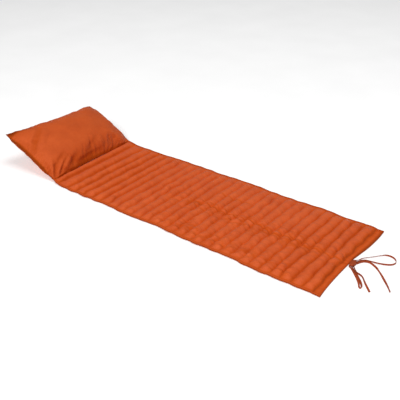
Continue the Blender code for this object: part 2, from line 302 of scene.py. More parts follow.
@dataclass(frozen=True)
class Ripples:
    """The uneven waviness of cloth, from a few waves with seeded directions.

    Attributes:
        along: The shortest wavelength along the cloth.
        across: The shortest wavelength across the cloth.
        seed: Which set of waves it is.
        waves: How many waves are added up.
    """

    along: float
    across: float
    seed: int
    waves: int = 10

    def at(self, x: np.ndarray, y: np.ndarray) -> np.ndarray:
        """The waviness at places of the cloth, mostly from -1 to 1."""
        chance = np.random.default_rng(self.seed)
        total = np.zeros(np.broadcast(x, y).shape)
        for _ in range(self.waves):
            turn_x = 2 * math.pi / self.along * chance.uniform(-1, 1)
            turn_y = 2 * math.pi / self.across * chance.uniform(0.3, 1)
            total += np.sin(turn_x * x + turn_y * y + chance.uniform(0, 2 * math.pi))
        return total / math.sqrt(self.waves)


class NodeBench:
    """Adds and links the nodes of one material."""

    def __init__(self, name: str) -> None:
        """Makes an empty material with that name."""
        self.material = bpy.data.materials.new(name)
        self.material.use_nodes = True
        self.tree = self.material.node_tree
        self.tree.nodes.clear()

    def add(self, kind: str, sockets: Mapping[Any, Any], **options: Any) -> bpy.types.Node:
        """Adds a node.

        Args:
            kind: Blender's name for the node.
            sockets: Input sockets with the value, or the other node's socket, that each takes.
            **options: The node's own settings.

        Returns:
            The new node.
        """
        node = self.tree.nodes.new(kind)
        for option, value in options.items():
            setattr(node, option, value)
        for key, value in sockets.items():
            if isinstance(value, Socket):
                self.tree.links.new(value, node.inputs[key])
            else:
                node.inputs[key].default_value = value
        return node

    def combine(self, operation: str, *values: Any) -> Socket:
        """Adds a sum or a product of values and returns its result."""
        return self.add("ShaderNodeMath", dict(enumerate(values)), operation=operation).outputs[0]

    def noise(self, place: Socket, scale: float, detail: float, roughness: float = 0.5) -> Socket:
        """Adds soft noise over a place and returns its value."""
        sockets = {"Vector": place, "Scale": scale, "Detail": detail, "Roughness": roughness}
        return self.add("ShaderNodeTexNoise", sockets).outputs["Fac"]

    def bands(self, place: Socket, pitch: float, way: str, wobble: float, detail: float) -> Socket:
        """Adds parallel waves.

        Args:
            place: The place that they run over.
            pitch: How far apart they are.
            way: The direction in which they follow each other.
            wobble: How much they are bent.
            detail: How fine their bends are.

        Returns:
            Their value, from 0 to 1.
        """
        scale = 2 * math.pi / WAVE_RADIANS / pitch
        sockets = {"Vector": place, "Scale": scale, "Distortion": wobble, "Detail": detail}
        return self.add("ShaderNodeTexWave", sockets, bands_direction=way).outputs["Fac"]

    def ranged(self, value: Socket, source: Span, target: Span) -> Socket:
        """Adds a map of one range of values to another, held at both ends.

        Args:
            value: The value that is mapped.
            source: The range that it comes from.
            target: What both ends of that range become.

        Returns:
            The mapped value.
        """
        sockets = {"Value": value, "From Min": source[0], "From Max": source[1]}
        sockets |= {"To Min": target[0], "To Max": target[1]}
        return self.add("ShaderNodeMapRange", sockets).outputs[0]

    def bump(self, height: Socket, depth: float, strength: float, under: Any = None) -> Socket:
        """Adds a fine relief.

        Args:
            height: Its height, from 0 to 1.
            depth: How high 1 stands, in metres.
            strength: How fully it shows.
            under: The relief that it lies on, if any.

        Returns:
            The relief's way out of the surface.
        """
        sockets = {"Height": height, "Distance": depth, "Strength": strength}
        if under is not None:
            sockets["Normal"] = under
        return self.add("ShaderNodeBump", sockets).outputs[0]

    def ramp(self, source: Socket, stops: Sequence[tuple[float, Colour]]) -> Socket:
        """Adds a colour ramp.

        Args:
            source: The value that picks the colour.
            stops: Places on the ramp with their colours, the two ends first.

        Returns:
            The colour.
        """
        node = self.add("ShaderNodeValToRGB", {"Fac": source})
        elements = node.color_ramp.elements
        for i, (place, colour) in enumerate(stops):
            element = elements[i] if i < 2 else elements.new(place)
            element.position = place
            element.color = (*colour, 1.0)
        return node.outputs["Color"]

    def close(self, sockets: Mapping[str, Any]) -> bpy.types.Material:
        """Gives the surface its shader with these sockets and returns the material."""
        shader = self.add("ShaderNodeBsdfPrincipled", sockets)
        self.add("ShaderNodeOutputMaterial", {"Surface": shader.outputs[0]})
        return self.material


@dataclass(frozen=True)
class WovenCloth:
    """A plain woven cotton: crossed threads, slubs, soft mottling and a low nap.

    It is painted darker, with its gloss and nap faded, where its attribute of painted shade is high:
    the painted shade of seams, valleys, creases, folds, wrinkles and the rim.
    """

    name: str
    deep: Colour
    mid: Colour
    light: Colour
    thread_pitch: float = 0.0011
    thread_wobble: float = 1.2
    weave_relief: float = 0.00016
    weave_strength: float = 0.8
    slub_stretches: tuple = ((60, 900, 1), (900, 60, 1))
    slub_share: float = 0.35
    slub_relief: float = 0.00025
    slub_strength: float = 0.6
    mottle_scale: float = 11.0
    mottle_roughness: float = 0.6
    tone_range: Span = (0.55, 1.15)
    roughness: Span = (0.74, 0.60)
    shine: float = 0.44
    sheen: float = 0.10
    sheen_roughness: float = 0.5
    sheen_tint: Colour = (1.0, 0.75, 0.60)
    # Painted shade: the tone it darkens the cloth to at its fullest, and from which shade the gloss and
    # nap fade
    painted_shade_tone: float = 0.45
    dull_from: float = 0.20
    dull_share: float = 0.1

    def material(self) -> bpy.types.Material:
        """Builds the finish.

        Returns:
            The material.
        """
        bench = NodeBench(self.name)
        place = bench.add("ShaderNodeUVMap", {}, uv_map=UV_NAME).outputs["UV"]
        threads = [
            bench.bands(place, self.thread_pitch, way, self.thread_wobble, 1.0) for way in ("X", "Y")
        ]
        weave = bench.combine("MULTIPLY", *threads)
        slubs = []
        for stretch in self.slub_stretches:
            stretched = bench.add("ShaderNodeMapping", {"Vector": place, "Scale": stretch})
            slubs.append(bench.noise(stretched.outputs[0], 1.0, 2.0))
        slub = bench.combine("ADD", *slubs)
        mottle = bench.noise(place, self.mottle_scale, 5.0, self.mottle_roughness)
        mixed = bench.combine("MULTIPLY_ADD", slub, self.slub_share, mottle)
        tone = bench.ramp(
            bench.ranged(mixed, self.tone_range, (0.0, 1.0)),
            ((0.0, self.deep), (1.0, self.light), (0.5, self.mid)),
        )
        # The painted shade from the point attribute darkens the colour and fades the gloss and nap
        rim = bench.add("ShaderNodeAttribute", {}, attribute_name=PAINTED_SHADE_NAME).outputs["Fac"]
        shade = bench.ranged(rim, (0.0, 1.0), (1.0, self.painted_shade_tone))
        gloss, nap = (
            bench.ranged(rim, (0.0, self.dull_from), (full, full * self.dull_share))
            for full in (self.shine, self.sheen)
        )
        shaded = bench.add("ShaderNodeHueSaturation", {"Color": tone, "Value": shade})
        bump = bench.bump(slub, self.slub_relief, self.slub_strength)
        return bench.close(
            {
                "Base Color": shaded.outputs["Color"],
                "Roughness": bench.ranged(weave, (0.0, 1.0), self.roughness),
                "Normal": bench.bump(weave, self.weave_relief, self.weave_strength, bump),
                "Specular IOR Level": gloss,
                "Sheen Weight": nap,
                "Sheen Roughness": self.sheen_roughness,
                "Sheen Tint": (*self.sheen_tint, 1.0),
            }
        )


@dataclass(frozen=True)
class SewingThread:
    """A twisted polyester thread, a shade off the cloth."""

    name: str
    deep: Colour
    light: Colour
    ply_pitch: float = 0.0006
    ply_wobble: float = 0.5
    ply_relief: float = 0.0001
    ply_strength: float = 0.8
    roughness: float = 0.65
    shine: float = 0.25
    sheen: float = 0.04

    def material(self) -> bpy.types.Material:
        """Builds the finish.

        Returns:
            The material.
        """
        bench = NodeBench(self.name)
        place = bench.add("ShaderNodeTexCoord", {}).outputs["Object"]
        ply = bench.bands(place, self.ply_pitch, "DIAGONAL", self.ply_wobble, 2.0)
        return bench.close(
            {
                "Base Color": bench.ramp(ply, ((0.0, self.deep), (1.0, self.light))),
                "Roughness": self.roughness,
                "Normal": bench.bump(ply, self.ply_relief, self.ply_strength),
                "Specular IOR Level": self.shine,
                "Sheen Weight": self.sheen,
            }
        )


@dataclass(frozen=True)
class PaleFloor:
    """A matt white studio floor, faintly lit from within as a light table is."""

    name: str = "pale_floor"
    grain_scale: float = 3.0
    grain_range: Span = (0.3, 0.7)
    tones: Span = (0.90, 0.94)
    roughness: float = 0.9
    shine: float = 0.1
    glow: float = 0.20

    def material(self) -> bpy.types.Material:
        """Builds the finish.

        Returns:
            The material.
        """
        bench = NodeBench(self.name)
        place = bench.add("ShaderNodeTexCoord", {}).outputs["Object"]
        grain = bench.noise(place, self.grain_scale, 4.0)
        stops = [(at, (tone, tone, tone)) for at, tone in zip(self.grain_range, self.tones)]
        return bench.close(
            {
                "Base Color": bench.ramp(grain, stops),
                "Roughness": self.roughness,
                "Specular IOR Level": self.shine,
                "Emission Color": (1.0, 1.0, 1.0, 1.0),
                "Emission Strength": self.glow,
            }
        )


def mesh_object(
    name: str,
    points: np.ndarray,
    faces: Sequence[Sequence[int]],
    material: bpy.types.Material,
    uv: np.ndarray | None = None,
    rim: np.ndarray | None = None,
) -> bpy.types.Object:
    """Makes a smooth shaded object from points and faces.

    Args:
        name: The piece's name.
        points: One row of x, y, z for each point.
        faces: The points of each face, anticlockwise from outside.
        material: Its finish.
        uv: Where each point lies on the flat cloth, in metres.
        rim: The painted shade of each point, from 0 to 1, that darkens the cloth.

    Returns:
        The object, linked to the scene.
    """
    mesh = bpy.data.meshes.new(name)
    mesh.from_pydata([tuple(point) for point in points.tolist()], [], faces)
    if uv is not None:
        corners = np.empty(len(mesh.loops), dtype=np.int32)
        mesh.loops.foreach_get("vertex_index", corners)
        layer = mesh.uv_layers.new(name=UV_NAME)
        layer.data.foreach_set("uv", uv[corners].astype(np.float32).ravel())
    # The painted shade goes into a point attribute that the cloth's finish darkens by
    if rim is not None:
        nearness = mesh.attributes.new(PAINTED_SHADE_NAME, "FLOAT", "POINT")
        nearness.data.foreach_set("value", rim.astype(np.float32).ravel())
    mesh.shade_smooth()
    mesh.materials.append(material)
    body = bpy.data.objects.new(name, mesh)
    bpy.context.scene.collection.objects.link(body)
    return body


def places_of(mesh: bpy.types.Mesh, layer: str = "co") -> np.ndarray:
    """The places of a mesh's points, or their normals, one row each."""
    values = np.empty(len(mesh.vertices) * 3)
    if layer == "co":
        mesh.vertices.foreach_get("co", values)
    else:
        mesh.vertex_normals.foreach_get("vector", values)
    return values.reshape(-1, 3)


def put_places(mesh: bpy.types.Mesh, places: np.ndarray) -> None:
    """Gives a mesh's points new places."""
    mesh.vertices.foreach_set("co", places.ravel())
    mesh.update()


class TwoSheets:
    """The numbering of a closed piece whose two sheets are one grid and share its edge."""

    def __init__(self, rows: int, columns: int) -> None:
        """Numbers the points of both sheets."""
        self.upper = np.arange(rows * columns).reshape(rows, columns)
        self.lower = self.upper.copy()
        inner = (rows - 2) * (columns - 2)
        start = rows * columns
        self.lower[1:-1, 1:-1] = np.arange(start, start + inner).reshape(rows - 2, columns - 2)

    def join(self, upper: np.ndarray, lower: np.ndarray) -> np.ndarray:
        """Puts two sheets' values, rows by columns by n, into one list of points."""
        width = upper.shape[-1]
        return np.concatenate([upper.reshape(-1, width), lower[1:-1, 1:-1].reshape(-1, width)])

    def faces(self) -> list[list[int]]:
        """The faces of both sheets, with rows along +X and columns along +Y.

        Returns:
            The points of each face.
        """
        quads = []
        for grid, turned in ((self.upper, False), (self.lower, True)):
            a, b, c, d = grid[:-1, :-1], grid[1:, :-1], grid[1:, 1:], grid[:-1, 1:]
            ring = (a, d, c, b) if turned else (a, b, c, d)
            quads += np.stack([part.ravel() for part in ring], axis=1).tolist()
        return quads


def tube_faces(
    rings: int, around: int, start: int = 0, capped: bool = True, turned: bool = False
) -> list[list[int]]:
    """The faces of a tube whose rings of points follow each other.

    Args:
        rings: The number of rings.
        around: The number of points of a ring.
        start: The number of the first ring's first point.
        capped: Whether both ends are shut.
        turned: Whether the rings run clockwise as seen from the tube's last end.

    Returns:
        The points of each face, anticlockwise from outside.
    """
    faces = []
    for ring in range(rings - 1):
        for k in range(around):
            a = start + ring * around + k
            b = start + ring * around + (k + 1) % around
            quad = [a, b, b + around, a + around]
            faces.append([quad[0], *quad[:0:-1]] if turned else quad)
    if capped:
        first = list(range(start, start + around))
        last = [point + (rings - 1) * around for point in first]
        faces += [first, last[::-1]] if turned else [first[::-1], last]
    return faces


def reach_along(line: np.ndarray) -> np.ndarray:
    """How far along a line of points each point lies."""
    return np.concatenate([[0], np.cumsum(np.linalg.norm(np.diff(line, axis=0), axis=1))])


@dataclass
class Stitching:
    """A row of short stitches of one thread.

    The profile gives parts of a stitch's length with the thread's swell and lift there.
    """

    pitch: float = 0.0045
    share: float = 0.70
    radius: float = 0.00035
    sides: int = 5
    profile: tuple = ((0.0, 0.35, -0.3), (0.3, 1.0, 0.5), (0.7, 1.0, 0.5), (1.0, 0.35, -0.3))

    def along(self, line: np.ndarray) -> list[tuple[np.ndarray, np.ndarray]]:
        """Cuts a line into stitches.

        Args:
            line: The points of the line.

        Returns:
            The two ends of each stitch.
        """
        reach = reach_along(line)
        count = int(reach[-1] / self.pitch)
        starts = (np.arange(count) + (1 - self.share) / 2) * self.pitch
        ends = starts + self.share * self.pitch
        first, last = (
            np.stack([np.interp(at, reach, line[:, axis]) for axis in range(3)], axis=1)
            for at in (starts, ends)
        )
        return list(zip(first, last))

    def stitch(self, start: np.ndarray, end: np.ndarray) -> list[np.ndarray]:
        """The points of one stitch, ring by ring.

        Args:
            start: Where it comes out of the cloth.
            end: Where it goes in again.

        Returns:
            The points.
        """
        run = end - start
        side = np.cross(run, (0.0, 0.0, 1.0))
        side /= np.linalg.norm(side)
        rise = np.cross(side, run)
        rise /= np.linalg.norm(rise)
        points = []
        for part, swell, lift in self.profile:
            centre = start + run * part + rise * lift * self.radius
            for turn in np.arange(self.sides) * 2 * math.pi / self.sides:
                out = side * math.cos(turn) + rise * math.sin(turn)
                points.append(centre + out * swell * self.radius)
        return points

    def build(
        self, name: str, lines: Sequence[np.ndarray], material: bpy.types.Material
    ) -> bpy.types.Object:
        """Sews along lines.

        Args:
            name: The piece's name.
            lines: The lines, each as its points.
            material: The thread.

        Returns:
            All the stitches as one piece.
        """
        points: list[np.ndarray] = []
        faces: list[list[int]] = []
        for line in lines:
            for start, end in self.along(line):
                faces += tube_faces(len(self.profile), self.sides, len(points))
                points += self.stitch(start, end)
        return mesh_object(name, np.array(points), faces, material)


def merge_poles(
    points: list[tuple], faces: list[list[int]], around: int, stations: int
) -> tuple[list[tuple], list[list[int]]]:
    """Makes one point of each end ring of a lofted lump.

    Args:
        points: The rings' points, ring by ring.
        faces: The quads between the rings.
        around: The number of points of a ring.
        stations: The number of spaces between the rings.

    Returns:
        The points and faces with each end ring drawn together.
    """
    last = stations * around

    def merged(index: int) -> int:
        """The new number of a point."""
        return min(max(0, index - around + 1), last - around + 1)

    kept = [points[0], *points[around:last], points[last]]
    closed = []
    for face in faces:
        ring = list(dict.fromkeys(merged(index) for index in face))
        if len(ring) > 2:
            closed.append(ring)
    return kept, closed


@dataclass
class Knot:
    """The bow's knot: tape bunched on both sides of a band that is wrapped round it.

    Its length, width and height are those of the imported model. The lump that shows is fuller by
    its looseness, away from the pad.
    """

    length: float = 0.020
    width: float = 0.034
    height: float = 0.015
    y: float = -0.021
    squareness: float = 0.7
    lead: float = 0.006
    bow_back: float = 0.004
    notch: float = 0.012
    looseness: float = 1.28
    end_flatness: float = 3.2
    end_roundness: float = 0.45
    band: float = 0.30
    band_groove: float = 0.16
    groove_reach: float = 0.07
    band_crease: float = 0.025
    band_creases: int = 3
    bunch: float = 0.90
    neck: float = 0.10
    neck_place: float = 0.45
    neck_reach: float = 0.12
    pleats: int = 5
    pleat_depth: float = 0.10
    pleat_twist: float = 3.0
    skew: float = 0.10
    skew_turn: float = 0.6
    around: int = 48
    stations: int = 34

    @property
    def middle_x(self) -> float:
        """The knot's middle, in x past the foot edge as the tapes' routes give it."""
        return self.bow_back - self.notch + GAP + self.length / 2

    def squarish(self, value: float) -> float:
        """Makes a round outline's value, from -1 to 1, that of the knot's squarer outline."""
        return math.copysign(abs(value) ** self.squareness, value)

    def beside(self, angle: float, clear: float) -> RoutePoint:
        """A point of a tape's way beside the knot.

        Args:
            angle: Its angle round the knot, in degrees.
            clear: How far it is from the knot's side.

        Returns:
            The point, with the tape standing on its edge.
        """
        turn = math.radians(angle)
        out_x = self.squarish(math.cos(turn)) * self.length / 2
        out_y = self.squarish(math.sin(turn)) * self.width / 2
        slant_x = abs(math.cos(turn)) ** (2 - self.squareness) / self.length
        slant_y = abs(math.sin(turn)) ** (2 - self.squareness) / self.width
        slant = math.hypot(slant_x, slant_y)
        return RoutePoint(
            self.middle_x + out_x + math.copysign(slant_x / slant * clear, out_x),
            self.y + out_y + math.copysign(slant_y / slant * clear, out_y),
            0.0,
        )

    def girth(self, part: float, turn: float) -> float:
        """How full the knot is at a place of its surface.

        Args:
            part: The place across the knot, from -1 to 1.
            turn: The angle round it.

        Returns:
            A share of its full size.
        """
        side = abs(part)
        size = (1 - side**self.end_flatness) ** self.end_roundness if side < 1 else 0.0
        edge = math.exp(-(((side - self.band) / self.groove_reach) ** 2))
        if side < self.band:
            swell = 1.0
            pleat = self.band_crease * math.cos(math.pi * part / self.band * self.band_creases)
        else:
            neck = math.exp(-(((side - self.neck_place) / self.neck_reach) ** 2))
            swell = self.bunch - self.neck * neck
            pleat = self.pleat_depth * math.cos(self.pleats * turn + self.pleat_twist * part)
        return size * (swell + pleat - self.band_groove * edge)

    def build(self, material: bpy.types.Material) -> bpy.types.Object:
        """Lofts the knot across, from bunched tape through the band to bunched tape.

        Args:
            material: The tape's cloth.

        Returns:
            The knot.
        """
        length, width = self.length * self.looseness, self.width * self.looseness
        clear_of_pad = (length - self.length) / 2
        middle_x = FOOT_X - self.bow_back + self.middle_x + clear_of_pad
        middle_z = GAP + self.height / 2
        points = []
        uv = []
        for i in range(self.stations + 1):
            part = -math.cos(math.pi * i / self.stations)
            for k in range(self.around):
                turn = 2 * math.pi * k / self.around
                reach = self.girth(part, turn)
                skew = self.skew * math.sin(turn + self.skew_turn) * (1 - abs(part))
                x = middle_x + self.squarish(math.cos(turn)) * reach * length / 2
                y = self.y + (part + skew) * width / 2
                z = middle_z + self.squarish(math.sin(turn)) * reach * self.height / 2
                points.append((x, y, z))
                uv.append((part * width / 2, turn * self.height / 2))
        faces = tube_faces(self.stations + 1, self.around, capped=False)
        points, faces = merge_poles(points, faces, self.around, self.stations)
        uv = uv[self.around - 1 : len(uv) - self.around + 1]
        return mesh_object("tie_knot_wraps", np.array(points), faces, material, np.array(uv))


KNOT = Knot()


@dataclass
class Tape:
    """One run of the flat tape of the bow, on its way over the floor.

    It leaves the knot at an angle and returns to it at another one, or has a free end.
    """

    name: str
    route: Sequence[RoutePoint]
    leaves: float
    returns: float | None
    width: float = 0.0085
    thickness: float = 0.0012
    spacing: float = 0.003
    flutter: float = 4.0
    flutter_reach: float = 0.017
    section: tuple = (
        (-0.50, -0.20), (-0.47, -0.50), (-0.25, -0.42), (0.0, -0.38), (0.25, -0.42), (0.47, -0.50),
        (0.50, -0.20), (0.50, 0.20), (0.47, 0.50), (0.25, 0.42), (0.0, 0.38), (-0.25, 0.42),
        (-0.47, 0.50), (-0.50, 0.20),
    )

    def stations(self) -> np.ndarray:
        """The tape's way over the floor, close together.

        Returns:
            Rows of x past the foot edge, y and lean.
        """
        route = [KNOT.beside(self.leaves, GAP), KNOT.beside(self.leaves, KNOT.lead), *self.route]
        if self.returns is not None:
            route += [KNOT.beside(self.returns, KNOT.lead), KNOT.beside(self.returns, GAP)]
        way = np.array(route)
        rows = []
        for i in range(len(way) - 1):
            a, b, c, d = way[max(0, i - 1)], way[i], way[i + 1], way[min(len(way) - 1, i + 2)]
            steps = max(1, round(math.hypot(*(c - b)[:2]) / self.spacing))
            for step in range(steps):
                rows.append(cubic(b, c, (c - a) / 2, (d - b) / 2, step / steps))
        rows.append(way[-1])
        return np.array(rows)

    def line(self) -> tuple[np.ndarray, np.ndarray, np.ndarray]:
        """The tape's middle line in space.

        Returns:
            Its points, its way across at each of them and its way out of its face.
        """
        rows = self.stations()
        level = np.zeros(len(rows))
        ahead = np.gradient(rows[:, :2], axis=0)
        ahead /= np.linalg.norm(ahead, axis=1, keepdims=True)
        run = reach_along(rows[:, :2])
        inner = np.sin(np.pi * run / run[-1])
        lean = np.radians(rows[:, 2] + self.flutter * inner * np.sin(run / self.flutter_reach))
        left = np.stack([-ahead[:, 1], ahead[:, 0], level], axis=1)
        up = np.array([0.0, 0.0, 1.0])
        across = np.cos(lean)[:, None] * up - np.sin(lean)[:, None] * left
        forward = np.column_stack([ahead, level])
        height = (self.width * np.cos(lean) + self.thickness * np.abs(np.sin(lean))) / 2 + GAP
        middle = np.column_stack([FOOT_X - KNOT.bow_back + rows[:, 0], rows[:, 1], height])
        return middle, across, np.cross(forward, across)

    def build(self, material: bpy.types.Material) -> bpy.types.Object:
        """Sweeps the tape's rounded section along its way and shuts both ends.

        Args:
            material: The tape's cloth.

        Returns:
            The run of tape.
        """
        middle, across, out = self.line()
        section = np.array(self.section) * (self.width, self.thickness)
        rings = (
            middle[:, None, :]
            + section[None, :, 0, None] * across[:, None, :]
            + section[None, :, 1, None] * out[:, None, :]
        )
        around = np.abs(np.linspace(-1, 1, len(section))) * self.width
        uv = np.stack(np.broadcast_arrays(reach_along(middle)[:, None], around[None, :]), axis=2)
        faces = tube_faces(len(middle), len(section), turned=True)
        return mesh_object(self.name, rings.reshape(-1, 3), faces, material, uv.reshape(-1, 2))

    def declare(self, piece: bpy.types.Object, with_pieces: Sequence[Any]) -> float:
        """Measures the tape's length along its middle line.

        Args:
            piece: The run of tape; not used.
            with_pieces: The pieces that it goes into; not used.

        Returns:
            Its length.
        """
        middle, _, _ = self.line()
        length = float(np.linalg.norm(np.diff(middle, axis=0), axis=1).sum())
        return length


@dataclass
class Bow:
    """The tape sewn into the foot edge and tied in a bow, with two loops and two free ends."""

    # The tape's colours are the cushion's cloth painted about half as bright: painted shade against the
    # light that the glowing floor throws on it
    cloth: WovenCloth = WovenCloth(
        "tape_weave",
        deep=(0.25, 0.036, 0.006),
        mid=(0.33, 0.050, 0.009),
        light=(0.41, 0.066, 0.014),
        thread_pitch=0.0008,
        shine=0.22,
        sheen=0.04,
    )

    def tapes(self) -> dict[str, Tape]:
        """The bow's four runs of tape, by the node that each replaces."""
        return {
            "tie_loop_long": Tape("long_loop_tape", LONG_LOOP_ROUTE, leaves=100, returns=62),
            "tie_loop_short": Tape("short_loop_tape", SHORT_LOOP_ROUTE, leaves=-100, returns=-65),
            "tie_tail_long": Tape("long_tail_tape", LONG_TAIL_ROUTE, leaves=30, returns=None),
            "tie_tail_short": Tape("short_tail_tape", SHORT_TAIL_ROUTE, leaves=-38, returns=None),
        }

    def build(self) -> None:
        material = self.cloth.material()
        knot = KNOT.build(material)
        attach(knot, "root")
        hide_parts("tie_knot")
        for node, tape in self.tapes().items():
            piece = tape.build(material)
            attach(piece, "root")
            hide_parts(node)
            length = tape.declare(piece, [knot])
            LOG.info("%s: %.3f m of tape", tape.name, length)


class Stretch(NamedTuple):
    """A stretch of the pad, by distance from the seam, whose two ends fade in and out."""

    start: float
    rise: float
    end: float
    fall: float

    def share(self, at: np.ndarray) -> np.ndarray:
        """1 within the stretch and 0 outside it."""
        return ease((at - self.start) / self.rise) * ease((self.end - at) / self.fall)


@dataclass(frozen=True)
class PackingFold:
    """A fold left from packing: a broad dip, a sharp crease in it and a low bank beside it."""

    line: Sequence[FoldLine]
    depth: float
    half_width: float = 0.036
    taper: float = 1.4
    fade_in: float = 0.08
    fade_out: float = 0.04
    crease_depth: float = 0.0030
    crease_reach: float = 0.0036
    bank_height: float = 0.0009
    bank_place: float = 0.012
    bank_reach: float = 0.006

    def press(self, x: np.ndarray, y: np.ndarray) -> tuple[np.ndarray, np.ndarray]:
        """Presses the fold into the pad.

        Args:
            x: Distances from the seam.
            y: Places across the pad.

        Returns:
            How deep the fold is and how near its crease is, 1 on it.
        """
        start, end = self.line[0].from_seam, self.line[-1].from_seam
        off = y - follow(self.line, "y", x)
        fade = ease((x - start) / self.fade_in) * ease((end - x) / self.fade_out + 1)
        fade = fade * (x < end + self.fade_out)
        broad = np.clip(1 - np.abs(off) / self.half_width, 0, 1) ** self.taper
        sharp = near_to(off, self.crease_reach)
        bank = near_to(off - self.bank_place, self.bank_reach)
        depth = self.depth * broad + self.crease_depth * sharp - self.bank_height * bank
        return fade * depth, fade * sharp


@dataclass
class Pad:
    """The long pad, quilted across into channels, with a flat hem at its sides and foot.

    Shades say how dark painted shade makes the cloth, and reaches how far from a thing it is felt, in
    metres. The painted shade of wrinkles is for one metre of their depth. Creased places are pairs
    of a place across the pad and a reach.
    """

    # The channels and their seams
    length: float = 1.519
    half_width: float = 0.300
    pitch: float = 0.0504
    channels: int = 28
    foot_strip: float = 0.038
    head_stretch: float = 0.043
    head_stretch_reach: float = 1.9
    crest: float = 0.0212
    roundness: float = 0.80
    head_shift: float = 1.60
    foot_shift: float = 0.85
    least_filling: float = 0.75
    groove: float = 0.0036
    base_groove: float = 0.0014
    base_groove_reach: float = 0.004
    thinnest: float = 0.0007
    thin_ease: float = 0.0010

    # The hem, the foot strip and the edges
    hem_base: float = 0.0012
    hem_top: float = 0.0065
    hem_width: float = 0.012
    hem_swell: float = 0.0008
    hem_seam: float = 0.0016
    hem_seam_width: float = 0.0016
    hem_lift: float = 0.0009
    foot_hem_seam: float = 0.0013
    foot_hem_reach: float = 0.0018
    strip_swell: float = 0.0016
    strip_fold_share: float = 0.5
    shoulder: float = 0.034
    shoulder_rise: float = 0.75
    head_end: float = 0.008
    edge_radius: float = 0.0026

    # How dark painted shade makes the seams, the valleys, the creases, the wrinkles, the foot strip and
    # the rim
    near_rim_reach: float = 0.0034
    far_rim_reach: float = 0.0115
    seam_shade: float = 0.20
    seam_reach: float = 0.0045
    valley_shade: float = 0.13
    valley_reach: float = 0.0125
    foot_seam_shade: float = 0.25
    foot_seam_reach: float = 0.006
    hem_seam_shade: float = 0.26
    hem_seam_reach: float = 0.0036
    strip_shade: float = 0.10
    crease_shade: float = 0.26
    wrinkle_shade: float = 50.0
    shade_start: float = 0.006
    shade_rise: float = 0.012

    # How plainly the channels show
    head_relief: float = 1.10
    soft_middle: float = 0.58
    soft_stretch: Stretch = Stretch(0.15, 0.30, 1.42, 0.30)
    soft_far_side: float = 0.36
    far_start: float = 0.02
    far_rise: float = 0.18
    far_end: float = 1.25
    far_fall: float = 0.60

    # How uneven the seams and the edges are
    wander: float = 0.002
    wander_turns: tuple = (1.7, 11.0)
    small_wander: float = 0.0022
    small_wander_waves: Ripples = Ripples(3.0, 0.085, seed=5)
    askew: float = 0.0022
    askew_seed: int = 13
    edge_wave: float = 0.0016
    edge_wave_start: float = 0.10
    near_edge_waves: Ripples = Ripples(3.0, 0.070, seed=47)
    far_edge_waves: Ripples = Ripples(3.0, 0.070, seed=53)
    edge_gather: float = 0.0014
    edge_gather_taper: float = 0.6
    edge_slack: float = 0.30
    edge_reach: float = 0.050
    hem_waves: Ripples = Ripples(0.16, 0.5, seed=41)

    # How uneven the surface is
    unevenness: float = 0.08
    uneven_turns: tuple = ((2.1, 9.0), (0.9, -14.0))
    own_shift: float = 0.731
    pucker: float = 0.0016
    pucker_reach: float = 0.011
    pucker_fullness: float = 0.9
    pucker_waves: Ripples = Ripples(0.09, 0.022, seed=11)
    strip_waves: Ripples = Ripples(0.30, 0.024, seed=17)
    lump: float = 0.0013
    lump_waves: Ripples = Ripples(0.08, 0.09, seed=23)
    crinkle: float = 0.0009
    crinkle_waves: Ripples = Ripples(0.035, 0.030, seed=31)
    wrinkle: float = 0.0014
    wrinkle_line: float = 0.28
    wrinkle_rest: float = 0.65
    wrinkle_waves: Ripples = Ripples(0.09, 0.055, seed=37, waves=6)
    short_wrinkle: float = 0.0010
    short_wrinkle_line: float = 0.40
    short_wrinkle_rest: float = 0.75
    short_wrinkle_waves: Ripples = Ripples(0.050, 0.030, seed=43, waves=6)
    more_creased: float = 1.6
    creased_stretch: Stretch = Stretch(0.45, 0.35, 1.50, 0.25)
    creased_by_fold: tuple = (-0.03, 0.07)
    creased_near_side: tuple = (-0.22, 0.06)
    near_side_share: float = 0.8
    packing: tuple = (PackingFold(CENTRE_FOLD, 0.0018), PackingFold(QUARTER_FOLD, 0.0014))

    # The grid, by parts of a channel and distances from an edge, and the finishes
    steps: tuple = (0.0, 0.03, 0.08, 0.16, 0.28, 0.42, 0.58, 0.72, 0.84, 0.92, 0.97)
    foot_cuts: tuple = (
        0.038, 0.0366, 0.0345, 0.031, 0.026, 0.020, 0.0155, 0.0135, 0.012, 0.0105, 0.008, 0.005,
        0.0025, 0.001, 0.0,
    )
    hem_cuts: tuple = (0.0135, 0.012, 0.0105, 0.008, 0.005, 0.0025, 0.001, 0.0)
    steps_aside: int = 60
    closeness: float = 0.42
    stitch_lift: float = 0.0001
    cloth: WovenCloth = WovenCloth(
        "pad_weave", deep=(0.565, 0.074, 0.008), mid=(0.630, 0.090, 0.010), light=(0.70, 0.111, 0.016)
    )
    thread: SewingThread = SewingThread(
        "quilting_thread", deep=(0.42, 0.050, 0.006), light=(0.58, 0.082, 0.012)
    )

    def seam_line(self, y: np.ndarray) -> np.ndarray:
        """Where the seam between pad and pillow lies, which runs a little askew."""
        slope = (FRONT_FAR.x - FRONT_NEAR.x) / (FRONT_FAR.y - FRONT_NEAR.y)
        return FRONT_NEAR.x + slope * (y - FRONT_NEAR.y)

    def seams(self) -> np.ndarray:
        """The places of the head seam and of all the quilting seams.

        Returns:
            Their distances from the seam between pad and pillow.
        """
        k = np.arange(self.channels + 1)
        even = self.length - self.foot_strip - (self.channels - k) * self.pitch
        quilted = even - self.head_stretch * np.exp(-k / self.head_stretch_reach)
        return np.concatenate([[(FRONT_NEAR.x + FRONT_FAR.x) / 2], quilted])

